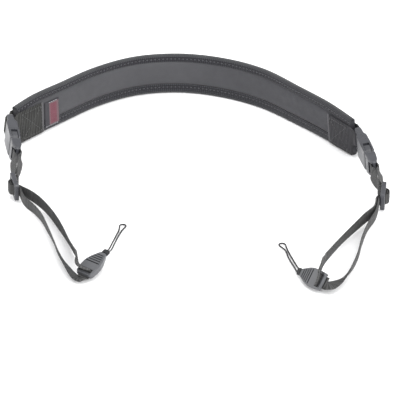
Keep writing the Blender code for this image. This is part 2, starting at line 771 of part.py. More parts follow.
def build_connector(side):
    connector = prism(f"connector_{side}", whole_outline(CONNECTOR_WIDTH), "XY", -2.0, 9.0)
    outline = [(row.along, row.high) for row in CONNECTOR_SIDE]
    outline += [(row.along, row.low) for row in reversed(CONNECTOR_SIDE)]
    shape = prism(f"connector_sides_{side}", outline, "XZ", -12.0, 12.0, CUTTERS)
    slot = block_cutter(
        f"connector_slot_{side}",
        [
            (
                (CONNECTOR_BAR_LENGTH, -CONNECTOR_SLOT_HALF, -2.0),
                (CONNECTOR_SLOT_END, CONNECTOR_SLOT_HALF, 9.0),
            )
        ],
    )
    bar = block_cutter(
        f"connector_bar_{side}",
        [
            (
                (-2.0, -CONNECTOR_SLOT_HALF, low),
                (CONNECTOR_BAR_LENGTH + 1.0, CONNECTOR_SLOT_HALF, high),
            )
            for low, high in ((-2.0, CONNECTOR_BAR_LOW), (CONNECTOR_BAR_HIGH, 9.0))
        ],
    )
    grooves = []
    for rib in range(RIB_COUNT):
        start = RIB_START + rib * RIB_PITCH
        level = rib_height(start + RIB_GROOVE / 2) - RIB_DEPTH
        reach = rib_reach(start + RIB_GROOVE / 2)
        grooves.append(((start, -reach, level), (start + RIB_GROOVE, reach, 9.0)))
    ribs = block_cutter(f"connector_ribs_{side}", grooves)
    combine(connector, shape, "INTERSECT")
    round_edges(connector, 1.0)
    for cutter in (slot, bar, ribs):
        combine(connector, cutter, "DIFFERENCE")

    start = CONNECTOR_LENGTH + GAP
    ring = [
        (
            SLEEVE_HALF_WIDTH * math.cos(math.radians(angle)),
            SLEEVE_MIDDLE + SLEEVE_HALF_THICK * math.sin(math.radians(angle)),
        )
        for angle in range(0, 360, 24)
    ]
    points = [(start, w, h) for w, h in ring] + [(start + SLEEVE_LENGTH, w, h) for w, h in ring]
    count = len(ring)
    faces = [tuple(range(count)), tuple(range(count, 2 * count))]
    faces += [
        (i, (i + 1) % count, count + (i + 1) % count, count + i) for i in range(count)
    ]
    sleeve = new_solid(f"cord_sleeve_{side}", points, faces, CORD_BLACK, 0.6)
    holes_points, holes_faces = [], []
    for centre in (-CORD_HALF_SPREAD, CORD_HALF_SPREAD):
        base = len(holes_points)
        for along in (start + 1.2, start + SLEEVE_LENGTH + 1.0):
            for step in range(10):
                angle = math.radians(36.0 * step)
                holes_points.append(
                    (
                        along,
                        centre + CORD_HOLE * math.cos(angle),
                        SLEEVE_MIDDLE + CORD_HOLE * math.sin(angle),
                    )
                )
        holes_faces.append(tuple(range(base, base + 10)))
        holes_faces.append(tuple(range(base + 10, base + 20)))
        for step in range(10):
            after = (step + 1) % 10
            holes_faces.append((base + step, base + after, base + 10 + after, base + 10 + step))
    holes = new_solid(
        f"sleeve_holes_{side}", holes_points, holes_faces, CORD_BLACK, 0.6, CUTTERS
    )
    combine(sleeve, holes, "DIFFERENCE")
    seat((connector, shape, slot, bar, ribs, sleeve, holes), CONNECTORS[side])


def weave_keys(side, offset):
    """One layer's way through the slider, from the buckle's side to the connector's."""
    matrix = place_matrix(SLIDERS[side])
    up = matrix.to_3x3().col[2]
    first, second = slider_slots()
    half, radius = SLIDER_HALF_THICK, WEAVE_RADIUS
    width = first[1] - first[0]
    apart = math.hypot(width, 2 * half)
    slope = math.degrees(math.atan2(2 * half, width) + math.asin(2 * radius / apart))
    rows = [(-1.0, -half - radius + 0.3 + offset)]
    last = 270.0 if offset > 0.0 else 270.0 - WEAVE_LEAVE[side]
    corners = (
        (first[0], -half, -90.0, slope - 90.0, radius - offset),
        (first[1], half, slope + 90.0, 90.0, radius + offset),
        (second[0], half, 90.0, 90.0 - slope, radius + offset),
        (second[1], -half, 270.0 - slope, last, radius - offset),
    )
    for along, across, start, end, reach in corners:
        for step in range(4):
            angle = math.radians(start + (end - start) * step / 3)
            rows.append((along + reach * math.cos(angle), across + reach * math.sin(angle)))
    if offset > 0.0:
        rows.append((SLIDER_LENGTH + 0.6, -half - radius + offset))
    else:
        turn, reach = math.radians(last), radius - offset
        rows.append(
            (
                second[1] + reach * math.cos(turn) - 1.6 * math.sin(turn),
                -half + reach * math.sin(turn) + 1.6 * math.cos(turn),
            )
        )
    out = OUTWARD[side]
    return [(matrix @ Vector((s, q * out, 0.0)), up.copy()) for s, q in rows]


def flare_keys(side, sign, buckle_end, slider_end):
    """A layer's way from the buckle to the slider: its upper edge leans in on the way."""
    matrix = place_matrix(BUCKLES[side]).to_3x3()
    beside, up = matrix.col[1] * OUTWARD[side] * sign, matrix.col[2]
    keys = []
    for row in FLARE:
        roll = math.radians(row.roll)
        spot = buckle_end.lerp(slider_end, row.share) + beside * row.apart
        keys.append((spot, up * math.cos(roll) + beside * math.sin(roll)))
    return keys


def bar_keys(side):
    """The webbing round the connector's bar, front run first."""
    matrix = place_matrix(CONNECTORS[side])
    along, across, up = (matrix.to_3x3().col[axis] for axis in range(3))
    raised = across if side == "left" else -across
    keys = []
    for row in BAR_WRAP:
        spot = matrix @ Vector((row.along, 0.0, row.up)) + raised * row.raised
        wide = along * row.wide_along + raised * row.wide_raised + up * row.wide_up
        keys.append((spot, wide.normalized()))
    return keys


def run_keys(side, rows, to_connector):
    """Keys of a free run from its table."""
    keys = []
    for index, row in enumerate(rows):
        before, after = rows[max(index - 1, 0)], rows[min(index + 1, len(rows) - 1)]
        ahead = Vector((after.x - before.x, after.y - before.y, 0.0)).normalized()
        if not to_connector:
            ahead = -ahead
        out = ahead.cross(UP) if side == "left" else UP.cross(ahead)
        roll = math.radians(row.roll)
        spot = Vector((row.x, row.y, row.z)) - BOX_MIDDLE
        keys.append((spot, UP * math.cos(roll) + out * math.sin(roll)))
    return keys


def build_strap(side):
    """The closed band of narrow webbing: buckle, slider, connector and back."""
    out = OUTWARD[side]
    matrix = place_matrix(BUCKLES[side])
    up = matrix.to_3x3().col[2]
    centre = BUCKLE_LENGTH - STRAP_BAR_LENGTH / 2
    buckle = [(centre + 3.0, -out * (STRAP_WRAP - 0.1))]
    for step in range(7):
        turn = math.radians(-90.0 + 30.0 * step)
        buckle.append(
            (centre - STRAP_WRAP * math.cos(turn), out * STRAP_WRAP * math.sin(turn))
        )
    buckle.append((centre + 3.0, out * (STRAP_WRAP - 0.1)))
    buckle_keys = [(matrix @ Vector((s, n, 0.0)), up.copy()) for s, n in buckle]
    offset = (STRAP_THICK + LAYER_GAP) / 2
    outer, inner = weave_keys(side, offset), weave_keys(side, -offset)
    front = run_keys(side, FRONT_RUNS[side], True)
    back = run_keys(side, BACK_RUNS[side], False)
    wrap = bar_keys(side)
    outer_flare = flare_keys(side, 1.0, buckle_keys[-1][0], outer[0][0])
    inner_flare = flare_keys(side, -1.0, buckle_keys[0][0], inner[0][0])[::-1]

    def free(keys, step):
        rows = [(*spot, *wide) for spot, wide in keys]
        return [(Vector(r[:3]), Vector(r[3:]).normalized()) for r in smooth_rows(rows, step)]

    front_run = free([outer[-2], outer[-1], *front, *wrap[:2]], 5.0)[1:-1]
    back_run = free([wrap[-1], *back, inner[-1], inner[-2]], 5.0)
    keys = buckle_keys + outer_flare + outer[:-2] + front_run + wrap[1:-1]
    keys += back_run + inner[-3::-1] + inner_flare
    ribbon(f"adjust_strap_{side}", keys, [STRAP_WIDTH] * len(keys), STRAP_THICK, True)


def build_cord(side):
    matrix = place_matrix(CONNECTORS[side])
    across = matrix.to_3x3().col[1]
    start = CONNECTOR_LENGTH + GAP + 1.6
    mouth = CONNECTOR_LENGTH + GAP + SLEEVE_LENGTH + 0.6
    inside = matrix @ Vector((start, 0.0, SLEEVE_MIDDLE))
    outside = matrix @ Vector((mouth, 0.0, SLEEVE_MIDDLE))
    spread = CORD_HALF_SPREAD
    left = across
    rows = [(*outside, spread)]
    for row in CORD_LINES[side]:
        rows.append((row.x - BOX_MIDDLE.x, row.y - BOX_MIDDLE.y, row.z, row.half))
    line = smooth_rows(rows, 3.6)
    strands = ([], [])
    for index, row in enumerate(line):
        before, after = line[max(index - 1, 0)], line[min(index + 1, len(line) - 1)]
        ahead = Vector((after[0] - before[0], after[1] - before[1], 0.0)).normalized()
        beside = UP.cross(ahead)
        share = min(1.0, index / 3)
        beside = (left * (1.0 - share) + beside * share).normalized()
        for strand, sign in zip(strands, (1.0, -1.0)):
            strand.append(Vector(row[:3]) + beside * sign * row[3])
    end = Vector(line[-1][:3])
    ahead = Vector((end.x - line[-2][0], end.y - line[-2][1], 0.0)).normalized()
    beside = UP.cross(ahead)
    bight = []
    for step in range(1, 6):
        turn = math.radians(30.0 * step)
        bight.append(end + (beside * math.cos(turn) + ahead * math.sin(turn)) * BIGHT_RADIUS)
    route = [inside + left * spread, *strands[0], *bight, *strands[1][::-1], inside - left * spread]
    curve = bpy.data.curves.new(f"cord_loop_{side}", "CURVE")
    curve.dimensions = "3D"
    curve.bevel_depth = CORD_RADIUS * MM
    curve.bevel_resolution = 2
    curve.use_fill_caps = True
    spline = curve.splines.new("POLY")
    spline.points.add(len(route) - 1)
    for point, spot in zip(spline.points, route):
        point.co = (*(spot * MM), 1.0)
    curve.materials.append(plain_material(f"cord_loop_{side}", CORD_BLACK, 0.7))
    STRAP.objects.link(bpy.data.objects.new(f"cord_loop_{side}", curve))
    length = sum((b - a).length for a, b in zip(route, route[1:]))
    print(f"cord_loop_{side}: {len(route)} points, {length:.1f} mm")


clear_scene()
STRAP = new_collection("camera_neck_strap", False)
CUTTERS = new_collection("cutters", True)
PAD_FRAMES = pad_frames(pad_stations())
build_pad(PAD_FRAMES)
build_label(PAD_FRAMES)
for SIDE in ("left", "right"):
    build_tab(SIDE, PAD_FRAMES)
    build_buckle(SIDE)
    build_slider(SIDE)
    build_connector(SIDE)
    build_strap(SIDE)
    build_cord(SIDE)
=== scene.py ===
"""Looks of the camera neck strap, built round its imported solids.

A padded neck band stands on its lower edge in an arch. From each end a webbing tab holds a
quick-release buckle; a narrow webbing band runs from the buckle past a three-bar slider to a
cord connector, whose thin cord loop lies on the floor.

The solids' frame: +X right, +Y towards the back of the arch, +Z up, floor at z = 0. Lengths
are in millimetres until they reach Blender, which works in metres.
"""
from collections import namedtuple
from math import asin, atan2, cos, degrees, dist, exp, hypot, pi, radians, sin

import bmesh
import bpy
from mathutils import Matrix, Vector


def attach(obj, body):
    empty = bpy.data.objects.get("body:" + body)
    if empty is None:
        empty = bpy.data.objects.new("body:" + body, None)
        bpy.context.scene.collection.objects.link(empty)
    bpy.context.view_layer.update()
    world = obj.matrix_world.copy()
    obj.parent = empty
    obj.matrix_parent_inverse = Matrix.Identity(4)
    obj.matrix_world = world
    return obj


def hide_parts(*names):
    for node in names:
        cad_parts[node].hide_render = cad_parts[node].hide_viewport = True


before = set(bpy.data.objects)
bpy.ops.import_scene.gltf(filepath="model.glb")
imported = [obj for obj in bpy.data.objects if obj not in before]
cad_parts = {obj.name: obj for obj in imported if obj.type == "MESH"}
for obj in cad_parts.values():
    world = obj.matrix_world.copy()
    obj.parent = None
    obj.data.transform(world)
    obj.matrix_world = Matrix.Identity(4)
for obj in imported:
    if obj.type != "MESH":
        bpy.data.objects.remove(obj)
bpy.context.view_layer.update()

MM = 0.001
TINY = 1e-6
UP = Vector((0.0, 0.0, 1.0))
BOX_MIDDLE = Vector((-2.3, -2.2, 0.0))  # the origin, in the tables' coordinates
SIDES = ("left", "right")
OUTWARD = {"left": -1.0, "right": 1.0}  # which way is outward across a buckle or slider
HALF_TURN = tuple(range(0, 181, 30))  # stations of a bend round a bar, in degrees

# camera and studio, in metres; the tilt in degrees from straight down
CAMERA_SPOT = (0.0073, -1.3470, 0.71574)
CAMERA_TILT = 61.5
CAMERA_LENS = 171.0  # in millimetres, as is the sensor
SENSOR = 36.0
FLOOR_REACH = 3.0
FLOOR_DROP = 0.0003
FLOOR_COLOUR = (0.97, 0.97, 0.975, 1.0)
WORLD_STRENGTH = 0.95
# each light: name, spot, size, power
LIGHTS = (
    ("front_right", (1.5, -2.0, 1.4), 1.6, 66.0),
    ("left_side", (-2.3, 0.3, 1.5), 2.0, 32.0),
    ("overhead", (0.0, -0.4, 2.0), 2.0, 22.0),
)

# Neck band. A half is half a thickness; a fold is how far a binding covers the band.
PANEL_HALF = 2.6
PANEL_CROWN = 0.45  # more in the cushioned middle
PANEL_MARGIN = 0.1  # from the cushion to a binding
EDGE_HALF = 1.55
UPPER_FOLD = 6.1
LOWER_FOLD = 8.5
BINDING_WALL = 1.0
BINDING_HALF = 2.9
BINDING_PUFF = 0.1  # its swell between the stitches
BINDING_INNER = 1.6
BINDING_ROLL = 2.3  # height of the rolled edge
ROLL_SHAPE = 0.8  # 1 is an ellipse, less is fuller
PAD_GAP = 0.35
PAD_LINE_STEP = 0.5  # spacing of the points its length is measured on
FINE_STEP = 0.9  # spacing of the band's sections
COARSE_STEP = 9.0  # spacing of a tab's keys
STITCH_PITCH = 3.6
STITCH_LENGTH = 2.3
STITCH_DEPTH = 2.5  # of a binding's stitches from its open edge
THREAD_RADIUS = 0.28
SMALL_STITCH = 2.1  # length on the tabs and the label
SMALL_THREAD = 0.26  # radius there
PAINTED_SHADE_START = 170.0  # along the band: from there painted shade turns its cloth darker, up to the next
PAINTED_SHADE_END = 330.0

# Each row: x, y, height of the upper edge, sideways shift outward for each mm of height.
PAD_LINE = (
    (-147.6, 68.6, 33.2, 0.03),
    (-134.0, 85.5, 36.3, 0.0),
    (-113.0, 109.5, 36.4, 0.0),
    (-83.0, 142.2, 36.4, 0.0),
    (-50.0, 163.4, 36.5, 0.0),
    (-12.0, 169.1, 36.5, 0.0),
    (25.0, 159.0, 36.8, 0.0),
    (58.0, 138.3, 36.8, -0.01),
    (91.0, 102.2, 36.8, -0.09),
    (115.0, 72.0, 36.7, -0.12),
    (132.6, 47.3, 34.2, -0.13),
)

# end tabs and label
TAB_WIDTH = 27.4
TAB_LOOP_WIDTH = 15.0  # where it is folded in to pass through the socket
TAB_THICK = 1.4
TAB_LENGTH = 28.0  # on the band
TAB_MIDDLE = 15.0  # height of its middle line
TAB_OVERHANG = 1.7  # past the band's end
TAB_OFFSET = BINDING_HALF + PAD_GAP + 0.05 + TAB_THICK / 2
TAB_BAR_LENGTH = 2.8
TAB_WRAP = 3.1  # radius round the buckle's bar
TAB_NECK = 2.6
TAB_RIB = 1.9
TAB_RIB_HEIGHT = 0.16
TAB_WARP = 1.1  # pitch of its lengthwise threads
TAB_STEP = 0.3  # spacing of its sections
BOX_PITCH = 2.9  # of the stitches in its sewn box
LABEL_START = 30.6
LABEL_LENGTH = 16.8
LABEL_LOW = 3.4
LABEL_HIGH = 26.4
LABEL_THICK = 0.8
LABEL_LIP = 0.35
LABEL_RIM = (5.2, 15.6)  # the pale edge's two ends along the label
LABEL_FIELD = (6.6, 13.2)  # the red field's
RIM_INSET = 1.6
FIELD_INSET = 1.2
LABEL_PITCH = 2.45  # of its stitches

# buckle, slider and narrow webbing
RIBBON_LINE_STEP = 0.3  # as PAD_LINE_STEP
BUCKLE_LENGTH = 50.0
STRAP_BAR_LENGTH = 2.6
STRAP_WRAP = 2.9
STRAP_WIDTH = 9.5
STRAP_THICK = 1.2
STRAP_RIB = 1.35
STRAP_RIB_HEIGHT = 0.1
STRAP_WARP = 1.3
STRAP_STEP = 0.32
LAYER_GAP = 0.35
RUN_STEP = 5.0  # spacing of a free run's keys
SLIDER_LENGTH = 19.0
SLIDER_HALF_THICK = 1.8
SLIDER_END_BAR = 2.2
SLIDER_MIDDLE_BAR = 2.6
WEAVE_LEAVE = {"left": 33.0, "right": 12.0}  # how steeply the back run leaves a slider
WEAVE_RADIUS = 1.85
HARDWARE_EDGE = 0.25  # width of the rounded edges
CONNECTOR_EDGE = 0.3

# connector and cord
RIB_COUNT = 5
RIB_START = 11.6
RIB_PITCH = 2.4
RIB_GROOVE = 0.9
RIB_REACH = 9.2  # half length of the grooves, falling by RIB_TAPER for each mm along
RIB_TAPER = 0.284
RIB_SOFT = 0.2
SLEEVE_START = 26.35
SLEEVE_LENGTH = 3.6
SLEEVE_MIDDLE = 2.6
CORD_RADIUS = 0.6
CORD_KEY_STEP = 3.6
CORD_STEP = 1.2
CORD_HALF_SPREAD = 1.2
BIGHT_RADIUS = 2.5

# heading: the way it points, turned from +X towards +Y. dip: how far that way slopes down.
# lean: about its own length. All three in degrees.
Place = namedtuple("Place", "x y z heading dip lean")
BUCKLES = {
    "left": Place(-153.2, 61.6, 21.6, -77.6, 5.5, -8.0),
    "right": Place(134.0, 38.1, 21.2, -78.4, 5.5, 8.0),
}
SLIDERS = {
    "left": Place(-144.0, -18.6, 11.9, -73.0, 10.0, 0.0),
    "right": Place(149.6, -34.0, 11.9, -99.0, 10.0, 0.0),
}
CONNECTORS = {
    "left": Place(-80.2, -153.6, 2.3, 56.5, -10.0, 4.0),
    "right": Place(96.0, -171.0, 7.3, 124.0, 10.0, -52.0),
}

# The narrow webbing's free runs. Each row: x, y, z of the middle line, roll. The roll is how
# far the upper edge falls outward, in degrees.
FRONT_RUNS = {
    "left": (
        (-132.0, -45.0, 6.6, 2.0),
        (-124.3, -54.8, 5.3, 4.0),
        (-117.5, -67.5, 4.9, 6.0),
        (-111.7, -84.5, 4.9, 10.0),
        (-105.7, -104.0, 4.9, 16.0),
        (-102.2, -116.5, 4.9, 18.0),
        (-98.2, -129.2, 4.8, 30.0),
        (-94.2, -138.6, 4.5, 40.0),
        (-91.0, -145.8, 4.1, 49.0),
        (-88.0, -151.5, 3.5, 60.0),
        (-85.0, -155.6, 2.5, 70.0),
        (-82.4, -156.2, 2.0, 80.0),
    ),
    "right": (
        (140.6, -66.0, 6.3, 2.0),
        (132.9, -84.0, 5.1, 7.0),
        (127.0, -105.0, 4.9, 4.0),
        (122.3, -127.0, 4.9, 6.0),
        (116.3, -145.4, 4.8, 16.0),
        (110.9, -156.6, 4.7, 38.0),
        (108.1, -160.4, 4.6, 56.0),
        (104.3, -164.9, 4.6, 78.0),
        (100.7, -168.8, 5.1, 96.0),
        (97.9, -171.6, 6.3, 116.0),
    ),
}
BACK_RUNS = {
    "left": (
        (-84.9, -147.3, 13.9, 8.0),
        (-85.8, -137.6, 11.0, 7.0),
        (-87.9, -125.5, 7.0, 12.0),
        (-92.6, -109.7, 5.2, 14.0),
        (-98.6, -91.5, 4.9, 6.0),
        (-104.6, -75.5, 4.9, 0.0),
        (-111.6, -59.4, 5.0, 0.0),
        (-119.6, -46.4, 6.2, 0.0),
        (-128.0, -38.3, 8.2, 0.0),
    ),
    "right": (
        (91.6, -170.6, 19.3, 6.0),
        (93.5, -163.0, 19.6, 3.0),
        (95.0, -154.5, 16.2, 8.0),
        (97.3, -141.7, 11.6, 6.0),
        (101.0, -129.1, 8.0, 8.0),
        (105.6, -116.5, 5.6, 9.0),
        (113.0, -101.5, 4.9, 10.0),
        (122.0, -86.5, 5.2, 6.0),
        (131.8, -71.5, 6.0, 0.0),
        (140.0, -61.0, 7.4, 0.0),
    ),
}
# The two layers between buckle and slider. Each row: the share of the way there, how far each
# stands out from a straight way, roll.
FLARE = (
    (0.1, 0.0, -24.0),
    (0.3, 0.33, -27.0),
    (0.6, 0.37, -19.0),
    (0.85, 0.0, -7.0),
)
# How the webbing goes round the connector's bar. raised: towards its raised side. The last
# three say where its width points.
WrapPoint = namedtuple("WrapPoint", "along raised up wide_along wide_raised wide_up")
BAR_WRAP = (
    WrapPoint(-0.6, 0.0, 0.9, 0.0, -1.0, 0.0),
    WrapPoint(1.0, 0.0, 0.75, 0.0, -1.0, 0.0),
    WrapPoint(2.7, 0.0, 1.1, 0.0, -1.0, 0.0),
    WrapPoint(3.5, 0.0, 2.7, 0.0, -1.0, 0.0),
    WrapPoint(3.6, 0.0, 4.5, 0.0, -1.0, 0.0),
    WrapPoint(3.3, 0.1, 5.9, -0.15, -0.95, 0.25),
    WrapPoint(1.4, 1.3, 7.9, -0.55, -0.7, 0.45),
    WrapPoint(0.8, 4.2, 9.6, -0.74, -0.12, 0.66),
)

# The cord loops' middle lines, away from the sleeve. Each row: x, y, z, how far each strand
# lies beside it.
CORD_LINES = {
    "left": (
        (-62.3, -120.4, 6.2, 1.05),
        (-60.0, -105.0, 3.7, 0.95),
        (-57.7, -90.0, 1.6, 0.95),
        (-55.8, -80.5, 0.7, 1.3),
        (-54.4, -74.0, 0.65, 2.5),
    ),
    "right": (
        (75.2, -134.4, 1.1, 1.2),
        (72.3, -122.5, 0.7, 1.2),
        (69.9, -111.0, 0.65, 0.95),
        (67.2, -103.2, 0.65, 2.5),
    ),
}


# ---- curves and places


def curve_value(rows, span, part):
    """Centripetal Catmull-Rom value in one span of rows, which are equally long sequences."""
    before = rows[max(span - 1, 0)]
    start, end = rows[span], rows[span + 1]
    after = rows[min(span + 2, len(rows) - 1)]
    knots = [0.0]
    for one, two in ((before, start), (start, end), (end, after)):
        length = dist(one[:3], two[:3])
        knots.append(knots[-1] + max(length, TINY) ** 0.5)
    t = knots[1] + (knots[2] - knots[1]) * part

    def mix(a, b, low, high):
        share = 0.0 if high - low < TINY else (t - low) / (high - low)
        return [p + (q - p) * share for p, q in zip(a, b)]

    first = start if span == 0 else mix(before, start, knots[0], knots[1])
    second = mix(start, end, knots[1], knots[2])
    third = end if span + 2 >= len(rows) else mix(end, after, knots[2], knots[3])
    lower = mix(first, second, knots[0] if span else knots[1], knots[2])
    upper = mix(second, third, knots[1], knots[3] if span + 2 < len(rows) else knots[2])
    return mix(lower, upper, knots[1], knots[2])


def smooth_rows(rows, step):
    """Rows about one step apart, on a smooth line through the given rows."""
    found = []
    for span in range(len(rows) - 1):
        length = dist(rows[span][:3], rows[span + 1][:3])
        pieces = max(1, round(length / step))
        found += [curve_value(rows, span, piece / pieces) for piece in range(pieces)]
    found.append(list(rows[-1]))
    return found


def neighbours(rows, index):
    """The rows before and after one, or that row itself past an end."""
    return rows[max(index - 1, 0)], rows[min(index + 1, len(rows) - 1)]


def path_length(points):
    return sum((two - one).length for one, two in zip(points, points[1:]))


def place_matrix(place):
    """From a piece's own axes (along, across, up) to the frame, in millimetres."""
    turned = Matrix.Rotation(radians(place.heading), 4, "Z")
    dipped = Matrix.Rotation(radians(place.dip), 4, "Y")
    leaned = Matrix.Rotation(radians(place.lean), 4, "X")
    spot = Vector((place.x, place.y, place.z)) - BOX_MIDDLE
    return Matrix.Translation(spot) @ turned @ dipped @ leaned


def even_spots(rows, step):
    """(values, distance) at even distances along closely spaced rows."""
    distances = [0.0]
    for one, two in zip(rows, rows[1:]):
        distances.append(distances[-1] + dist(one[:3], two[:3]))
    count = max(1, round(distances[-1] / step))
    found, place = [], 0
    for index in range(count + 1):
        target = distances[-1] * index / count
        while place < len(rows) - 2 and distances[place + 1] < target:
            place += 1
        part = (target - distances[place]) / (distances[place + 1] - distances[place])
        values = [a + (b - a) * part for a, b in zip(rows[place], rows[place + 1])]
        found.append((values, target))
    return found


def pad_frames(step):
    """(origin, side, up, top, distance) along the neck band; side points outward."""
    rows = [(x, y, 0.0, top, lean) for x, y, top, lean in PAD_LINE]
    line = smooth_rows(rows, PAD_LINE_STEP)
    spots = [
        (Vector((v[0], v[1], 0.0)) - BOX_MIDDLE, v[3], v[4], distance)
        for v, distance in even_spots(line, step)
    ]
    frames = []
    for index, (spot, top, lean, distance) in enumerate(spots):
        before, after = neighbours(spots, index)
        side = UP.cross((after[0] - before[0]).normalized())
        frames.append((spot, side, UP + side * lean, top, distance))
    return frames


def frame_at(frames, distance):
    """The band's frame at a distance from its left end."""
    last = len(frames) - 2
    index = next((i for i in range(last) if frames[i + 1][4] >= distance), last)
    one, two = frames[index], frames[index + 1]
    part = (distance - one[4]) / (two[4] - one[4])
    return tuple(a + (b - a) * part for a, b in zip(one, two))


# ---- materials


def tone(red, green, blue):
    """A colour from its display values."""
    def linear(value):
        share = value / 255
        return share / 12.92 if share <= 0.04045 else ((share + 0.055) / 1.055) ** 2.4

    return (linear(red), linear(green), linear(blue), 1.0)


class Shader:
    """A material's node tree with short ways to add to it."""

    def __init__(self, name, roughness, specular=0.5, sheen=0.0):
        self.material = bpy.data.materials.new(name)
        self.material.use_nodes = True
        self.tree = self.material.node_tree
        self.out = self.tree.nodes["Principled BSDF"]
        self.out.inputs["Roughness"].default_value = roughness
        self.out.inputs["Specular IOR Level"].default_value = specular
        self.out.inputs["Sheen Weight"].default_value = sheen
        self.out.inputs["Sheen Roughness"].default_value = 0.4

    def add(self, kind, inputs, output=0, **settings):
        node = self.tree.nodes.new("ShaderNode" + kind)
        for name, value in settings.items():
            setattr(node, name, value)
        for key, value in inputs.items():
            if isinstance(value, bpy.types.NodeSocket):
                self.tree.links.new(value, node.inputs[key])
            else:
                node.inputs[key].default_value = value
        return node.outputs[output]

    def math(self, operation, one, two=0.0, three=0.0):
        return self.add("Math", {0: one, 1: two, 2: three}, operation=operation)

    def times(self, one, two):
        return self.math("MULTIPLY", one, two)

    def scaled(self, value, factor, shift):
        return self.math("MULTIPLY_ADD", value, factor, shift)

    def ramp(self, value, low, high, at_low=0.0, at_high=1.0):
        """at_low up to low, at_high from high on, straight between them."""
        return self.add("MapRange", {0: value, 1: low, 2: high, 3: at_low, 4: at_high})

    def noise(self, scale, detail=4.0, vector=None):
        if vector is None:
            vector = self.add("TexCoord", {}, "Object")
        return self.add("TexNoise", {"Vector": vector, "Scale": scale, "Detail": detail})

    def along_across(self):
        """The cloth map's two coordinates, in millimetres."""
        both = self.add("UVMap", {}, uv_map="Cloth")
        split = self.add("SeparateXYZ", {0: both}).node
        return split.outputs["X"], split.outputs["Y"]

    def wave(self, coordinate, pitch, shift=0.0):
        """0 to 1 and back once each pitch."""
        turned = self.scaled(coordinate, 2 * pi / pitch, shift)
        return self.scaled(self.math("SINE", turned), 0.5, 0.5)

    def band(self, coordinate, low, high, soft):
        """1 between low and high, falling to 0 over soft outside."""
        rise = self.ramp(coordinate, low - soft, low)
        fall = self.ramp(coordinate, high, high + soft, 1.0, 0.0)
        return self.times(rise, fall)

    def mix(self, share, one, two):
        return self.add("Mix", {"Factor": share, 6: one, 7: two}, 2, data_type="RGBA")

    def colour(self, socket):
        self.tree.links.new(socket, self.out.inputs["Base Color"])

    def bump(self, height, depth, strength=1.0):
        """Relief of a depth in millimetres."""
        normal = self.add("Bump", {"Height": height, "Distance": depth * MM, "Strength": strength})
        self.tree.links.new(normal, self.out.inputs["Normal"])

    def roughness(self, noise, low, high):
        ranged = self.ramp(noise, 0.3, 0.7, low, high)
        self.tree.links.new(ranged, self.out.inputs["Roughness"])

    def moulded(self, low, high):
        """Fine grain and polished patches of moulded acetal. Gives its flow marks."""
        flow = self.noise(70.0, 5.0)
        self.roughness(flow, low, high)
        self.bump(self.noise(2600.0, 2.0), 0.02, 0.5)
        return flow


def pad_material():
    """Smooth knitted face of the foam: fine wales, faint mottling, a soft sheen, and painted shade
    that turns it darker towards the right end."""
    wale, course = 0.7, 0.55
    shader = Shader("smooth_grey_knit", 0.62, 0.35, 0.12)
    along, across = shader.along_across()
    knit = shader.times(shader.wave(along, wale), shader.wave(across, course))
    base = shader.mix(shader.noise(28.0, 3.0), tone(57, 57, 60), tone(70, 70, 73))
    # painted shade: the face darkens towards the band's right end
    painted_shade = shader.ramp(along, PAINTED_SHADE_START, PAINTED_SHADE_END, 0.0, 0.9)
    base = shader.mix(painted_shade, base, tone(42, 42, 47))
    shader.colour(shader.mix(shader.times(knit, 0.3), base, tone(50, 50, 54)))
    shader.roughness(shader.noise(160.0), 0.55, 0.7)
    shader.bump(knit, 0.06, 0.6)
    return shader.material


def binding_material(name, fold):
    """Tape folded over an edge: plain at the roll, ribbed and stitched near its open edge.
    The map's second coordinate is the distance from the open edge."""
    rib, row, weave, groove_half = 1.8, 1.5, 0.6, 0.5
    shader = Shader(name, 0.85, 0.25, 0.15)
    along, depth = shader.along_across()
    sewn = shader.band(depth, 0.3, min(5.6, fold - 1.6), 0.8)
    dots = shader.times(shader.wave(along, rib), shader.wave(depth, row, 0.6))
    cloudy = shader.noise(60.0, 3.0)
    patchy = shader.scaled(dots, 0.5, shader.times(cloudy, 0.6))
    plain = shader.mix(patchy, tone(43, 44, 46), tone(74, 75, 77))
    # painted shade: the tape darkens towards the band's right end
    painted_shade = shader.ramp(along, PAINTED_SHADE_START, PAINTED_SHADE_END, 0.0, 0.6)
    plain = shader.mix(painted_shade, plain, tone(34, 34, 38))
    knit = shader.mix(dots, tone(24, 24, 28), tone(72, 72, 77))
    # painted shade in the crease that the stitch row draws into the tape
    low, high = STITCH_DEPTH - groove_half, STITCH_DEPTH + groove_half
    groove_shade = shader.times(shader.band(depth, low, high, groove_half), 0.55)
    shaded_knit = shader.mix(groove_shade, knit, tone(21, 21, 24))
    shader.colour(shader.mix(sewn, plain, shaded_knit))
    fine = shader.times(shader.wave(along, weave), shader.wave(depth, weave))
    shader.bump(shader.scaled(shader.times(dots, sewn), 1.0, fine), 0.16, 0.9)
    return shader.material


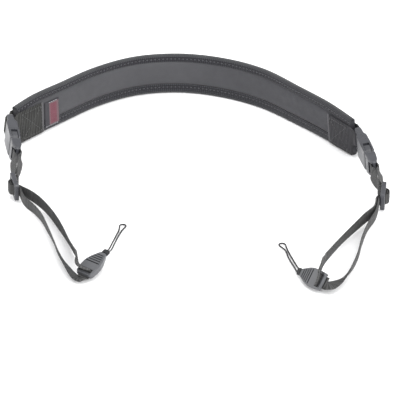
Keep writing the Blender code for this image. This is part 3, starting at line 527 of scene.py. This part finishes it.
def webbing_material(name, low, high, rib, warp, end=None):
    """Woven tape: cross ribs with the warp threads passing over them in turn, unevenly worn.
    rib, warp: their pitches. end: the tape's length, where it has cut ends folded under."""
    shader = Shader(name, 0.8, 0.3, 0.12)
    along, across = shader.along_across()
    ribs = shader.wave(along, rib)
    turned = shader.scaled(ribs, 2.0, -1.0)
    other = shader.scaled(shader.wave(across, warp), 2.0, -1.0)
    weave = shader.scaled(shader.times(turned, other), 0.5, 0.5)
    height = shader.scaled(ribs, 0.65, shader.times(weave, 0.35))
    streak = shader.add("CombineXYZ", {0: along, 1: shader.times(across, 0.12)})
    uneven = shader.scaled(shader.noise(0.55, 3.0, streak), 1.1, -0.55)
    worn = shader.scaled(shader.noise(90.0), 0.4, -0.2)
    shade = shader.math("ADD", shader.times(height, 0.85), worn)
    colour = shader.mix(shader.math("ADD", shade, uneven), low, high)
    if end is not None:
        inward, outward, soft = 1.5, 1.0, 0.3
        first = shader.band(along, -outward, inward, soft)
        last = shader.band(along, end - inward, end + outward, soft)
        hems = shader.times(shader.math("ADD", first, last), 0.6)
        colour = shader.mix(hems, colour, tone(96, 95, 98))
    shader.colour(colour)
    shader.bump(height, 0.16)
    return shader.material


def thread_material(name, dark, light):
    """Twisted sewing thread."""
    shader = Shader(name, 0.6, 0.4, 0.1)
    along, around = shader.along_across()
    twist = shader.wave(shader.math("ADD", along, shader.times(around, 0.5)), 0.45)
    shader.colour(shader.mix(twist, dark, light))
    shader.bump(twist, 0.05)
    return shader.material


def plastic_material(name, low, high, roughness):
    """Moulded acetal with faint flow marks."""
    shader = Shader(name, roughness, 0.4)
    flow = shader.moulded(roughness - 0.07, roughness + 0.09)
    shader.colour(shader.mix(flow, low, high))
    return shader.material


def ribbed_material(side):
    """The connector's plastic, with painted shade down in its grooves."""
    shader = Shader(f"ribbed_acetal_{side}", 0.34, 0.4)
    matrix = place_matrix(CONNECTORS[side])
    here = shader.add("TexCoord", {}, "Object")
    local = []
    for axis in matrix.to_3x3().col:
        turned = shader.add(
            "VectorMath", {0: here, 1: tuple(axis / MM)}, "Value", operation="DOT_PRODUCT"
        )
        local.append(shader.math("SUBTRACT", turned, matrix.translation.dot(axis)))
    along, across, up = local
    middle = RIB_START + RIB_GROOVE / 2
    waved = shader.wave(along, RIB_PITCH, pi / 2 - 2 * pi * middle / RIB_PITCH)
    last = RIB_START + (RIB_COUNT - 1) * RIB_PITCH + RIB_GROOVE
    ribbed = shader.band(along, RIB_START - RIB_SOFT, last + RIB_SOFT, RIB_SOFT)
    spread = shader.scaled(along, RIB_TAPER, shader.math("ABSOLUTE", across))
    inside = shader.ramp(spread, RIB_REACH - RIB_SOFT, RIB_REACH + RIB_SOFT, 1.0, 0.0)
    # painted shade: the grooves on the raised side are darkened towards the tone below
    groove_shade = shader.times(shader.times(shader.ramp(waved, 0.5, 0.8), ribbed), inside)
    depth = shader.times(shader.times(groove_shade, shader.ramp(up, 1.2, 2.2)), 0.9)
    base = shader.mix(shader.moulded(0.28, 0.42), tone(66, 67, 70), tone(86, 87, 90))
    shader.colour(shader.mix(depth, base, tone(12, 12, 14)))
    return shader.material


def rubber_material():
    shader = Shader("black_rubber", 0.6, 0.4)
    shader.colour(shader.mix(shader.noise(120.0), tone(15, 15, 17), tone(29, 29, 32)))
    shader.bump(shader.noise(1500.0, 2.0), 0.03)
    return shader.material


def cord_material():
    """Thin braid: two sets of strands crossing round the cord."""
    strand = 0.9
    shader = Shader("black_braid", 0.65, 0.4, 0.1)
    along, around = shader.along_across()
    one = shader.wave(shader.math("ADD", along, around), strand)
    two = shader.wave(shader.math("SUBTRACT", along, around), strand)
    braid = shader.math("MAXIMUM", one, two)
    shader.colour(shader.mix(braid, tone(10, 10, 12), tone(38, 38, 40)))
    shader.bump(braid, 0.08)
    return shader.material


def label_material():
    """Woven label, bare: a dark base with a red field that has a paler edge."""
    soft = 0.7
    shader = Shader("woven_red_label", 0.7, 0.3, 0.15)
    along, height = shader.along_across()
    low, high = LABEL_LOW + RIM_INSET, LABEL_HIGH - RIM_INSET
    rim = shader.times(shader.band(along, *LABEL_RIM, soft), shader.band(height, low, high, 0.6))
    low, high = low + FIELD_INSET, high - FIELD_INSET
    inside = shader.times(
        shader.band(along, *LABEL_FIELD, soft), shader.band(height, low, high, soft)
    )
    satin = shader.times(shader.wave(height, 0.5), shader.wave(along, 0.8))
    cloudy = shader.scaled(shader.noise(220.0, 3.0), 0.6, satin)
    field = shader.mix(cloudy, tone(76, 36, 45), tone(116, 70, 81))
    pale = shader.mix(satin, tone(88, 66, 71), tone(112, 90, 95))
    ground = shader.mix(satin, tone(45, 44, 48), tone(64, 63, 67))
    shader.colour(shader.mix(inside, shader.mix(rim, ground, pale), field))
    shader.bump(satin, 0.06)
    return shader.material


# ---- pieces


def new_piece(name, points, faces, maps, material):
    """A smooth mesh from points in millimetres. maps: the cloth map at each face's corners."""
    mesh = bpy.data.meshes.new(name)
    mesh.from_pydata([tuple(p * MM) for p in points], [], faces)
    layer = mesh.uv_layers.new(name="Cloth")
    flat = [value for face in maps for corner in face for value in corner]
    layer.uv.foreach_set("vector", flat)
    work = bmesh.new()
    work.from_mesh(mesh)
    bmesh.ops.recalc_face_normals(work, faces=work.faces)
    work.to_mesh(mesh)
    work.free()
    for face in mesh.polygons:
        face.use_smooth = True
    mesh.set_sharp_from_angle(angle=radians(50.0))
    mesh.materials.append(material)
    thing = bpy.data.objects.new(name, mesh)
    bpy.context.scene.collection.objects.link(thing)
    return thing


def sweep(name, frames, section, material, closed=False):
    """A skin through sections. frames: (origin, side, up) each. section(index, distance) gives
    (side, up, map's second coordinate) rows."""
    distances = [0.0]
    for one, two in zip(frames, frames[1:]):
        distances.append(distances[-1] + (two[0] - one[0]).length)
    whole = distances[-1] + (frames[0][0] - frames[-1][0]).length
    points, seconds = [], []
    for index, (origin, side, up) in enumerate(frames):
        rows = section(index, distances[index])
        points += [origin + side * row[0] + up * row[1] for row in rows]
        seconds.append([row[2] for row in rows])
    count = len(seconds[0])
    faces, maps = [], []
    for span in range(len(frames) if closed else len(frames) - 1):
        after_span = (span + 1) % len(frames)
        here, there = span * count, after_span * count
        start = distances[span]
        end = distances[after_span] if after_span else whole
        near, far = seconds[span], seconds[after_span]
        for corner in range(count):
            after = (corner + 1) % count
            faces.append((here + corner, here + after, there + after, there + corner))
            first = ((start, near[corner]), (start, near[after]))
            maps.append((*first, (end, far[after]), (end, far[corner])))
    if not closed:
        for span in (0, len(frames) - 1):
            faces.append(tuple(range(span * count, (span + 1) * count)))
            maps.append(tuple((distances[span], value) for value in seconds[span]))
    return new_piece(name, points, faces, maps, material)


def finish_piece(thing, node, replaced=True):
    """Makes a piece ride on the strap's root, and hides the node it stands in for when replaced.
    """
    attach(thing, "root")
    if replaced:
        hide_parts(node)
    return thing


def stitches(name, seams, material, node, length=STITCH_LENGTH, radius=THREAD_RADIUS):
    """Threads that rise out of the cloth and dive back. seams: (middle, way, out) each."""
    rings, sides, side_width = 5, 6, 0.25
    points, faces, maps = [], [], []
    for middle, way, out in seams:
        base = len(points)
        beside = way.cross(out).normalized()
        for ring in range(rings):
            part = ring / (rings - 1) * 2 - 1
            lift = 0.55 * radius - 1.7 * radius * abs(part) ** 3
            girth = radius * (1 - 0.35 * part * part)
            centre = middle + way * (part * length / 2) + out * lift
            for side in range(sides):
                turn = 2 * pi * side / sides
                arm = beside * cos(turn) + out * sin(turn)
                points.append(centre + arm * girth)
        for ring in range(rings - 1):
            for side in range(sides):
                after = (side + 1) % sides
                here, there = base + ring * sides, base + (ring + 1) * sides
                faces.append((here + side, here + after, there + after, there + side))
                start, end = ring * length / (rings - 1), (ring + 1) * length / (rings - 1)
                low, high = side * side_width, (side + 1) * side_width
                maps.append(((start, low), (start, high), (end, high), (end, low)))
        for ring in (0, rings - 1):
            first, along = base + ring * sides, ring * length / (rings - 1)
            faces.append(tuple(range(first, first + sides)))
            maps.append(tuple((along, side_width * side) for side in range(sides)))
    return finish_piece(new_piece(name, points, faces, maps, material), node, False)


def seam_spots(frames, pitch, spot_of):
    """(middle, way, out) at even pitch along the neck band. spot_of gives middle and out."""
    total = frames[-1][4]
    count = round(total / pitch)
    found = []
    for index in range(count):
        here = frame_at(frames, total * (index + 0.5) / count)
        middle, out = spot_of(here)
        found.append((middle, here[1].cross(here[2]).normalized(), out))
    return found


def binding_half(depth, along):
    """Half thickness of a binding at a distance from its open edge: it is drawn in at the
    stitches and puffs up between them."""
    pull = exp(-(((depth - STITCH_DEPTH) / 0.75) ** 2))
    beat = 0.5 + 0.5 * cos(2 * pi * along / STITCH_PITCH)
    edge = 0.28 * exp(-((depth / 0.5) ** 2))
    return BINDING_HALF + BINDING_PUFF - pull * (0.18 + 0.2 * beat) - edge


def build_band(frames):
    """The foam core with its face, and the two folded bindings with their stitches."""
    def core(index, along):
        top, steps = frames[index][3], 18
        foot, head = LOWER_FOLD + PANEL_MARGIN, top - UPPER_FOLD - PANEL_MARGIN
        rows = [(EDGE_HALF, BINDING_WALL + PAD_GAP), (EDGE_HALF, foot)]
        for step in range(1, steps):
            share = 0.5 - 0.5 * cos(pi * step / steps)
            rise = 1 - abs(2 * share - 1) ** 5
            half = EDGE_HALF + (PANEL_HALF + PANEL_CROWN - EDGE_HALF) * rise ** 0.5
            rows.append((half, foot + (head - foot) * share))
        rows += [(EDGE_HALF, head), (EDGE_HALF, top - BINDING_WALL - PAD_GAP)]
        whole = rows + [(-across, height) for across, height in reversed(rows)]
        return [(across, height, height) for across, height in whole]

    def folded(fold, edge):
        """Section rows of a binding. edge turns its own height into the band's."""
        roll_steps, steps, lip = 6, 14, 0.45

        def rows(index, along):
            right = [(0.0, 0.0, fold + 2.0)]
            for step in range(1, roll_steps + 1):
                turn = pi / 2 * step / roll_steps
                across = BINDING_HALF * sin(turn) ** ROLL_SHAPE
                height = BINDING_ROLL * (1 - cos(turn) ** ROLL_SHAPE)
                right.append((across, height, fold - height))
            for step in range(1, steps + 1):
                height = BINDING_ROLL + (fold - BINDING_ROLL) * step / steps
                depth = fold - height
                right.append((binding_half(depth, along), height, depth))
            right.append((BINDING_INNER + lip, fold + 0.12, 0.0))
            right.append((BINDING_INNER, fold - 0.1, 0.0))
            right.append((BINDING_INNER, BINDING_ROLL, 0.0))
            left = [(-across, height, depth) for across, height, depth in reversed(right[1:])]
            return [(a, edge(frames[index][3], h), d) for a, h, d in right + left]

        return rows

    plain = [f[:3] for f in frames]
    pad = sweep("neck_pad_face", plain, core, pad_material())
    finish_piece(pad, "neck_pad")
    thread = thread_material("binding_thread", tone(60, 60, 64), tone(94, 94, 99))
    for node, fold, width, edge in (
        ("lower_binding", LOWER_FOLD, 0.020, lambda top, height: height),
        ("upper_binding", UPPER_FOLD, 0.0155, lambda top, height: top - height),
    ):
        cloth = binding_material(f"{node}_tape", fold)
        binding = sweep(f"{node}_tape", plain, folded(fold, edge), cloth)
        finish_piece(binding, node)
        seams = []
        for sign in (-1.0, 1.0):
            def spot_of(here):
                out = here[1] * sign
                reach = BINDING_HALF - 0.16
                height = edge(here[3], fold - STITCH_DEPTH)
                return here[0] + out * reach + here[2] * height, out

            seams += seam_spots(frames, STITCH_PITCH, spot_of)
        row = stitches(f"{node}_stitches", seams, thread, node)


def ribbon_frames(keys, closed):
    """(origin, side, up) along webbing through (middle point, width direction) keys."""
    frames = []
    for index, (spot, wide, _) in enumerate(keys):
        if closed:
            before, after = keys[index - 1], keys[(index + 1) % len(keys)]
        else:
            before, after = neighbours(keys, index)
        ahead = (after[0] - before[0]).normalized()
        if closed:
            up = (wide - ahead * wide.dot(ahead)).normalized()
        else:
            up = wide
            ahead = (ahead - up * ahead.dot(up)).normalized()
        frames.append((spot, ahead.cross(up), up))
    return frames


def ribbon(name, keys, thick, rib, rib_height, material, closed):
    """Webbing with real cross ribs, thinner along its woven edges."""
    steps, edge_share = 7, 0.35

    def section(index, along):
        half = keys[index][2] / 2
        swell = rib_height * (0.5 + 0.5 * sin(2 * pi * along / rib))
        rows = []
        for step in range(steps):
            share = step / (steps - 1) * 2 - 1
            height = half * sin(pi / 2 * share)
            full = (1 - abs(share) ** 6) ** 0.5
            across = (thick / 2 - rib_height) * (edge_share + (1 - edge_share) * full)
            rows.append((across + swell * full, height, height))
        return rows + [(-across, height, place) for across, height, place in reversed(rows)]

    return sweep(name, ribbon_frames(keys, closed), section, material, closed)


def fine_keys(keys, step, closed):
    """Keys at an even step on the smooth line through the given ones."""
    rows = [(*spot, *wide, width) for spot, wide, width in keys]
    if closed:
        rows = rows[-2:] + rows + rows[:3]
    fine = []
    for span in range(len(rows) - 1):
        if closed and not 2 <= span < len(rows) - 3:
            continue
        pieces = max(1, round(dist(rows[span][:3], rows[span + 1][:3]) / RIBBON_LINE_STEP))
        fine += [curve_value(rows, span, piece / pieces) for piece in range(pieces)]
    fine.append(list(rows[-3] if closed else rows[-1]))
    spots = [values for values, _ in even_spots(fine, step)]
    if closed:
        spots = spots[:-1]
    return [(Vector(v[:3]), Vector(v[3:6]).normalized(), v[6]) for v in spots]


def tab_keys(side, frames):
    """A tab's way from the band's one face round the buckle's bar to the other face."""
    ends = frames if side == "left" else frames[::-1]
    end_distance = ends[0][4]
    inner_distance = TAB_LENGTH if side == "left" else end_distance - TAB_LENGTH
    stations = [f for f in ends if abs(f[4] - end_distance) < TAB_LENGTH - 1.0]
    stations.append(frame_at(frames, inner_distance))
    legs = []
    for sign in (1.0, -1.0):
        leg = []
        for spot, out, up, _, _ in stations:
            leg.append((spot + out * sign * TAB_OFFSET + up * TAB_MIDDLE, up.normalized()))
        beyond = (leg[0][0] - leg[1][0]).normalized() * TAB_OVERHANG
        leg.insert(0, (leg[0][0] + beyond, leg[0][1]))
        legs.append(leg)
    matrix = place_matrix(BUCKLES[side])
    middle = matrix @ Vector((TAB_BAR_LENGTH / 2, 0.0, 0.0))
    along, across, up = matrix.to_3x3().col
    towards = (legs[0][0][0] + legs[1][0][0]) / 2 - middle
    angle = atan2(towards.dot(across), towards.dot(along))
    arc = []
    for station in HALF_TURN:
        turn = angle + radians(90.0 + station)
        spot = middle + (along * cos(turn) + across * sin(turn)) * TAB_WRAP
        arc.append((spot, up.copy()))
    reach = (along * cos(angle) + across * sin(angle)) * TAB_NECK
    arc = [(arc[0][0] + reach, up.copy()), *arc, (arc[-1][0] + reach, up.copy())]
    nearer = (arc[0][0] - legs[0][0][0]).length < (arc[0][0] - legs[1][0][0]).length
    first, second = (legs[0], legs[1]) if nearer else (legs[1], legs[0])
    keys = first[::-1] + arc + second
    widths = [TAB_WIDTH] * len(first) + [TAB_LOOP_WIDTH] * len(arc) + [TAB_WIDTH] * len(second)
    return [(*key, width) for key, width in zip(keys, widths)]


def box_seams(side, frames):
    """A sewn box with a cross in it, on both faces of a tab."""
    total = frames[-1][4]
    near, far, half = 3.0, TAB_LENGTH - 2.2, TAB_WIDTH / 2 - 2.6
    corners = [(near, -half), (far, -half), (far, half), (near, half)]
    lines = [(corners[i], corners[(i + 1) % 4]) for i in range(4)]
    lines += [(corners[0], corners[2]), (corners[1], corners[3])]
    seams = []
    for start, end in lines:
        count = round(dist(start, end) / BOX_PITCH)
        for index in range(count):
            part = (index + 0.5) / count
            along = start[0] + (end[0] - start[0]) * part
            height = start[1] + (end[1] - start[1]) * part
            spot = frame_at(frames, along if side == "left" else total - along)
            forward = spot[1].cross(UP).normalized() * (-1.0 if side == "left" else 1.0)
            slope = (end[0] - start[0], end[1] - start[1])
            way = (forward * -slope[0] + UP * slope[1]).normalized()
            for sign in (-1.0, 1.0):
                out = spot[1] * sign
                reach = TAB_OFFSET + TAB_THICK / 2 - 0.08
                middle = spot[0] + out * reach + spot[2] * (TAB_MIDDLE + height)
                seams.append((middle, way, out))
    return seams


def build_label(frames):
    """The label on the band's inner face, sewn down along its upper and lower edges."""
    inner = -(BINDING_HALF + 0.12)
    outer = -(BINDING_HALF + PAD_GAP + LABEL_THICK)
    spans, levels = 20, 23
    spots = [
        frame_at(frames, LABEL_START + LABEL_LENGTH * i / spans)[:3] for i in range(spans + 1)
    ]

    def section(index, along):
        lip = LABEL_LIP if index in (0, spans) else 0.0
        rows = [(inner, LABEL_LOW, LABEL_LOW)]
        for step in range(levels + 1):
            height = LABEL_LOW + (LABEL_HIGH - LABEL_LOW) * step / levels
            edge = LABEL_LIP if step in (0, levels) else 0.0
            rows.append((outer + max(lip, edge), height, height))
        rows.append((inner, LABEL_HIGH, LABEL_HIGH))
        return rows

    label = sweep("side_label_weave", spots, section, label_material())
    finish_piece(label, "side_label")
    seams = []
    # each row of stitches: its height, where it starts, how many it has
    for level, first, count in ((LABEL_HIGH - 0.9, 5.6, 4), (LABEL_LOW + 0.9, 1.3, 6)):
        for index in range(count):
            here = frame_at(frames, LABEL_START + first + index * LABEL_PITCH)
            way = here[1].cross(UP).normalized()
            seams.append((here[0] + here[1] * (outer - 0.02) + here[2] * level, way, -here[1]))
    thread = thread_material("label_thread", tone(129, 129, 132), tone(177, 177, 181))
    row = stitches("side_label_stitches", seams, thread, "side_label", SMALL_STITCH, SMALL_THREAD)


def slider_slots():
    """(start, end) of the slider's two slots along it."""
    slot = (SLIDER_LENGTH - 2 * SLIDER_END_BAR - SLIDER_MIDDLE_BAR) / 2
    first = (SLIDER_END_BAR, SLIDER_END_BAR + slot)
    second = (first[1] + SLIDER_MIDDLE_BAR, SLIDER_LENGTH - SLIDER_END_BAR)
    return first, second


def weave_keys(side, offset):
    """One layer's way through the slider, from the buckle's side to the connector's."""
    matrix = place_matrix(SLIDERS[side])
    up = matrix.to_3x3().col[2]
    first, second = slider_slots()
    half, radius = SLIDER_HALF_THICK, WEAVE_RADIUS
    lead_in, lead_out, tail = 1.0, 0.6, 1.6
    width = first[1] - first[0]
    apart = hypot(width, 2 * half)
    slope = degrees(atan2(2 * half, width) + asin(2 * radius / apart))
    rows = [(-lead_in, -half - radius + 0.3 + offset)]
    last = 270.0 if offset > 0.0 else 270.0 - WEAVE_LEAVE[side]
    corners = (
        (first[0], -half, -90.0, slope - 90.0, radius - offset),
        (first[1], half, slope + 90.0, 90.0, radius + offset),
        (second[0], half, 90.0, 90.0 - slope, radius + offset),
        (second[1], -half, 270.0 - slope, last, radius - offset),
    )
    for along, across, start, end, reach in corners:
        for step in range(4):
            angle = radians(start + (end - start) * step / 3)
            rows.append((along + reach * cos(angle), across + reach * sin(angle)))
    if offset > 0.0:
        rows.append((SLIDER_LENGTH + lead_out, -half - radius + offset))
    else:
        turn, reach = radians(last), radius - offset
        along = second[1] + reach * cos(turn) - tail * sin(turn)
        rows.append((along, -half + reach * sin(turn) + tail * cos(turn)))
    out = OUTWARD[side]
    return [(matrix @ Vector((s, q * out, 0.0)), up.copy()) for s, q in rows]


def flare_keys(side, sign, buckle_end, slider_end):
    """A layer's way from the buckle to the slider: its upper edge leans in on the way."""
    matrix = place_matrix(BUCKLES[side]).to_3x3()
    beside, up = matrix.col[1] * OUTWARD[side] * sign, matrix.col[2]
    keys = []
    for share, apart, roll in FLARE:
        turn = radians(roll)
        spot = buckle_end.lerp(slider_end, share) + beside * apart
        keys.append((spot, up * cos(turn) + beside * sin(turn)))
    return keys


def bar_keys(side):
    """The webbing round the connector's bar, front run first."""
    matrix = place_matrix(CONNECTORS[side])
    along, across, up = matrix.to_3x3().col
    raised = across if side == "left" else -across
    keys = []
    for row in BAR_WRAP:
        spot = matrix @ Vector((row.along, 0.0, row.up)) + raised * row.raised
        wide = along * row.wide_along + raised * row.wide_raised + up * row.wide_up
        keys.append((spot, wide.normalized()))
    return keys


def run_keys(side, rows, to_connector):
    """Keys of a free run from its table."""
    keys = []
    for index, (*spot, roll) in enumerate(rows):
        before, after = neighbours(rows, index)
        ahead = Vector((after[0] - before[0], after[1] - before[1], 0.0)).normalized()
        if not to_connector:
            ahead = -ahead
        out = ahead.cross(UP) if side == "left" else UP.cross(ahead)
        turn = radians(roll)
        keys.append((Vector(spot) - BOX_MIDDLE, UP * cos(turn) + out * sin(turn)))
    return keys


def strap_keys(side):
    """The closed band of narrow webbing: buckle, slider, connector and back."""
    out = OUTWARD[side]
    matrix = place_matrix(BUCKLES[side])
    up = matrix.to_3x3().col[2]
    centre = BUCKLE_LENGTH - STRAP_BAR_LENGTH / 2
    past, apart = centre + 3.0, STRAP_WRAP - 0.1
    buckle = [(past, -out * apart)]
    for station in HALF_TURN:
        turn = radians(station - 90.0)
        buckle.append((centre - STRAP_WRAP * cos(turn), out * STRAP_WRAP * sin(turn)))
    buckle.append((past, out * apart))
    buckle_keys = [(matrix @ Vector((s, n, 0.0)), up.copy()) for s, n in buckle]
    offset = (STRAP_THICK + LAYER_GAP) / 2
    outer, inner = weave_keys(side, offset), weave_keys(side, -offset)
    front = run_keys(side, FRONT_RUNS[side], True)
    back = run_keys(side, BACK_RUNS[side], False)
    wrap = bar_keys(side)
    outer_flare = flare_keys(side, 1.0, buckle_keys[-1][0], outer[0][0])
    inner_flare = flare_keys(side, -1.0, buckle_keys[0][0], inner[0][0])[::-1]

    def free(keys):
        rows = smooth_rows([(*spot, *wide) for spot, wide in keys], RUN_STEP)
        return [(Vector(r[:3]), Vector(r[3:]).normalized()) for r in rows]

    front_run = free([outer[-2], outer[-1], *front, *wrap[:2]])[1:-1]
    back_run = free([wrap[-1], *back, inner[-1], inner[-2]])
    keys = buckle_keys + outer_flare + outer[:-2] + front_run + wrap[1:-1]
    keys += back_run + inner[-3::-1] + inner_flare
    return [(*key, STRAP_WIDTH) for key in keys]


def cord_route(side):
    """The cord's way from inside the sleeve round the bight and back."""
    matrix = place_matrix(CONNECTORS[side])
    across = matrix.to_3x3().col[1]
    inside = matrix @ Vector((SLEEVE_START + 1.6, 0.0, SLEEVE_MIDDLE))
    outside = matrix @ Vector((SLEEVE_START + SLEEVE_LENGTH + 0.6, 0.0, SLEEVE_MIDDLE))
    rows = [(*outside, CORD_HALF_SPREAD)]
    for x, y, z, half in CORD_LINES[side]:
        rows.append((x - BOX_MIDDLE.x, y - BOX_MIDDLE.y, z, half))
    line = smooth_rows(rows, CORD_KEY_STEP)
    strands = ([], [])
    for index, row in enumerate(line):
        before, after = neighbours(line, index)
        ahead = Vector((after[0] - before[0], after[1] - before[1], 0.0)).normalized()
        beside = UP.cross(ahead)
        share = min(1.0, index / 3)
        beside = (across * (1.0 - share) + beside * share).normalized()
        for strand, sign in zip(strands, (1.0, -1.0)):
            strand.append(Vector(row[:3]) + beside * sign * row[3])
    end = Vector(line[-1][:3])
    ahead = Vector((end.x - line[-2][0], end.y - line[-2][1], 0.0)).normalized()
    beside = UP.cross(ahead)
    bight = []
    for station in HALF_TURN[1:-1]:
        turn = radians(station)
        bight.append(end + (beside * cos(turn) + ahead * sin(turn)) * BIGHT_RADIUS)
    spread = across * CORD_HALF_SPREAD
    return [inside + spread, *strands[0], *bight, *strands[1][::-1], inside - spread]


def build_cord(side, material):
    """A cord loop, laid down along its route."""
    rows = smooth_rows([tuple(p) for p in cord_route(side)], CORD_STEP)
    path = [Vector(row) for row in rows]
    frames = []
    for index, spot in enumerate(path):
        before, after = neighbours(path, index)
        ahead = after - before
        beside = UP.cross(ahead).normalized()
        frames.append((spot, beside, ahead.normalized().cross(beside)))
    sides, girth = 12, 3.6

    def ring(index, along):
        rows = []
        for step in range(sides):
            turn = 2 * pi * step / sides
            around = girth * step / sides
            rows.append((CORD_RADIUS * cos(turn), CORD_RADIUS * sin(turn), around))
        return rows

    cord = sweep(f"cord_{side}", frames, ring, material)
    finish_piece(cord, f"cord_loop_{side}")


def dress_node(node, material, width):
    """A carried-over solid: its own shape with rounded edges and a new finish."""
    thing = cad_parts[node]
    for slot in thing.material_slots:
        slot.material = material
    weld = thing.modifiers.new("joined corners", "WELD")
    weld.merge_threshold = 0.00002
    bevel = thing.modifiers.new("rounded edges", "BEVEL")
    bevel.width = width * MM
    bevel.segments = 2
    bevel.limit_method = "ANGLE"
    bevel.angle_limit = radians(28.0)


# ---- camera, light and floor


def build_studio():
    scene = bpy.context.scene
    camera = bpy.data.cameras.new("photo_camera")
    camera.lens = CAMERA_LENS
    camera.sensor_width = SENSOR
    camera.clip_start = 0.01
    view = bpy.data.objects.new("photo_camera", camera)
    view.location = CAMERA_SPOT
    view.rotation_euler = (radians(CAMERA_TILT), 0.0, 0.0)
    scene.collection.objects.link(view)
    scene.camera = view

    mesh = bpy.data.meshes.new("floor")
    reach = FLOOR_REACH
    corners = [(-reach, -reach, 0), (reach, -reach, 0), (reach, reach, 0), (-reach, reach, 0)]
    mesh.from_pydata(corners, [], [(0, 1, 2, 3)])
    pale = Shader("pale_floor", 0.9, 0.1)
    pale.out.inputs["Base Color"].default_value = FLOOR_COLOUR
    mesh.materials.append(pale.material)
    floor = bpy.data.objects.new("floor", mesh)
    floor.location.z = -FLOOR_DROP
    scene.collection.objects.link(floor)

    world = bpy.data.worlds.new("studio")
    scene.world = world
    world.use_nodes = True
    background = world.node_tree.nodes["Background"]
    background.inputs["Color"].default_value = (1.0, 1.0, 1.0, 1.0)
    background.inputs["Strength"].default_value = WORLD_STRENGTH

    for name, spot, size, power in LIGHTS:
        data = bpy.data.lights.new(name, "AREA")
        data.size = size
        data.energy = power
        light = bpy.data.objects.new(name, data)
        light.location = spot
        aim = Vector() - Vector(spot)
        light.rotation_euler = aim.to_track_quat("-Z", "Y").to_euler()
        scene.collection.objects.link(light)
    scene.view_settings.view_transform = "Standard"


build_studio()
BRAID = cord_material()
for SIDE in SIDES:
    build_cord(SIDE, BRAID)

BAND = pad_frames(FINE_STEP)
build_band(BAND)
build_label(BAND)
COARSE = pad_frames(COARSE_STEP)
STRAP_CLOTH = webbing_material(
    "strap_webbing", tone(20, 20, 21), tone(84, 84, 84), STRAP_RIB, STRAP_WARP
)
TAB_THREAD = thread_material("tab_thread", tone(50, 50, 52), tone(89, 89, 89))
HARDWARE = plastic_material("grey_acetal", tone(48, 49, 53), tone(65, 66, 71), 0.3)
RUBBER = rubber_material()
# both tabs are the same webbing; the right tab's darker tones are painted shade at that end of the
# band
TAB_LIT_AND_SHADED_TONES = {
    "left": (tone(10, 10, 10), tone(68, 68, 66)),
    "right": (tone(10, 10, 12), tone(55, 54, 59)),
}
for SIDE in SIDES:
    KEYS = fine_keys(tab_keys(SIDE, COARSE), TAB_STEP, False)
    REACH = path_length([key[0] for key in KEYS])
    CLOTH = webbing_material(f"tab_webbing_{SIDE}", *TAB_LIT_AND_SHADED_TONES[SIDE], TAB_RIB, TAB_WARP, REACH)
    TAB = ribbon(f"tab_{SIDE}", KEYS, TAB_THICK, TAB_RIB, TAB_RIB_HEIGHT, CLOTH, False)
    finish_piece(TAB, f"end_tab_{SIDE}")
    BOX, NODE = box_seams(SIDE, BAND), f"end_tab_{SIDE}"
    SEAM = stitches(f"tab_{SIDE}_stitches", BOX, TAB_THREAD, NODE, SMALL_STITCH, SMALL_THREAD)
    KEYS = fine_keys(strap_keys(SIDE), STRAP_STEP, True)
    STRAP = ribbon(
        f"strap_{SIDE}", KEYS, STRAP_THICK, STRAP_RIB, STRAP_RIB_HEIGHT, STRAP_CLOTH, True
    )
    finish_piece(STRAP, f"adjust_strap_{SIDE}")
    for NODE in ("buckle_socket", "buckle_plug", "slider"):
        dress_node(f"{NODE}_{SIDE}", HARDWARE, HARDWARE_EDGE)
    dress_node(f"connector_{SIDE}", ribbed_material(SIDE), CONNECTOR_EDGE)
    dress_node(f"cord_sleeve_{SIDE}", RUBBER, CONNECTOR_EDGE)
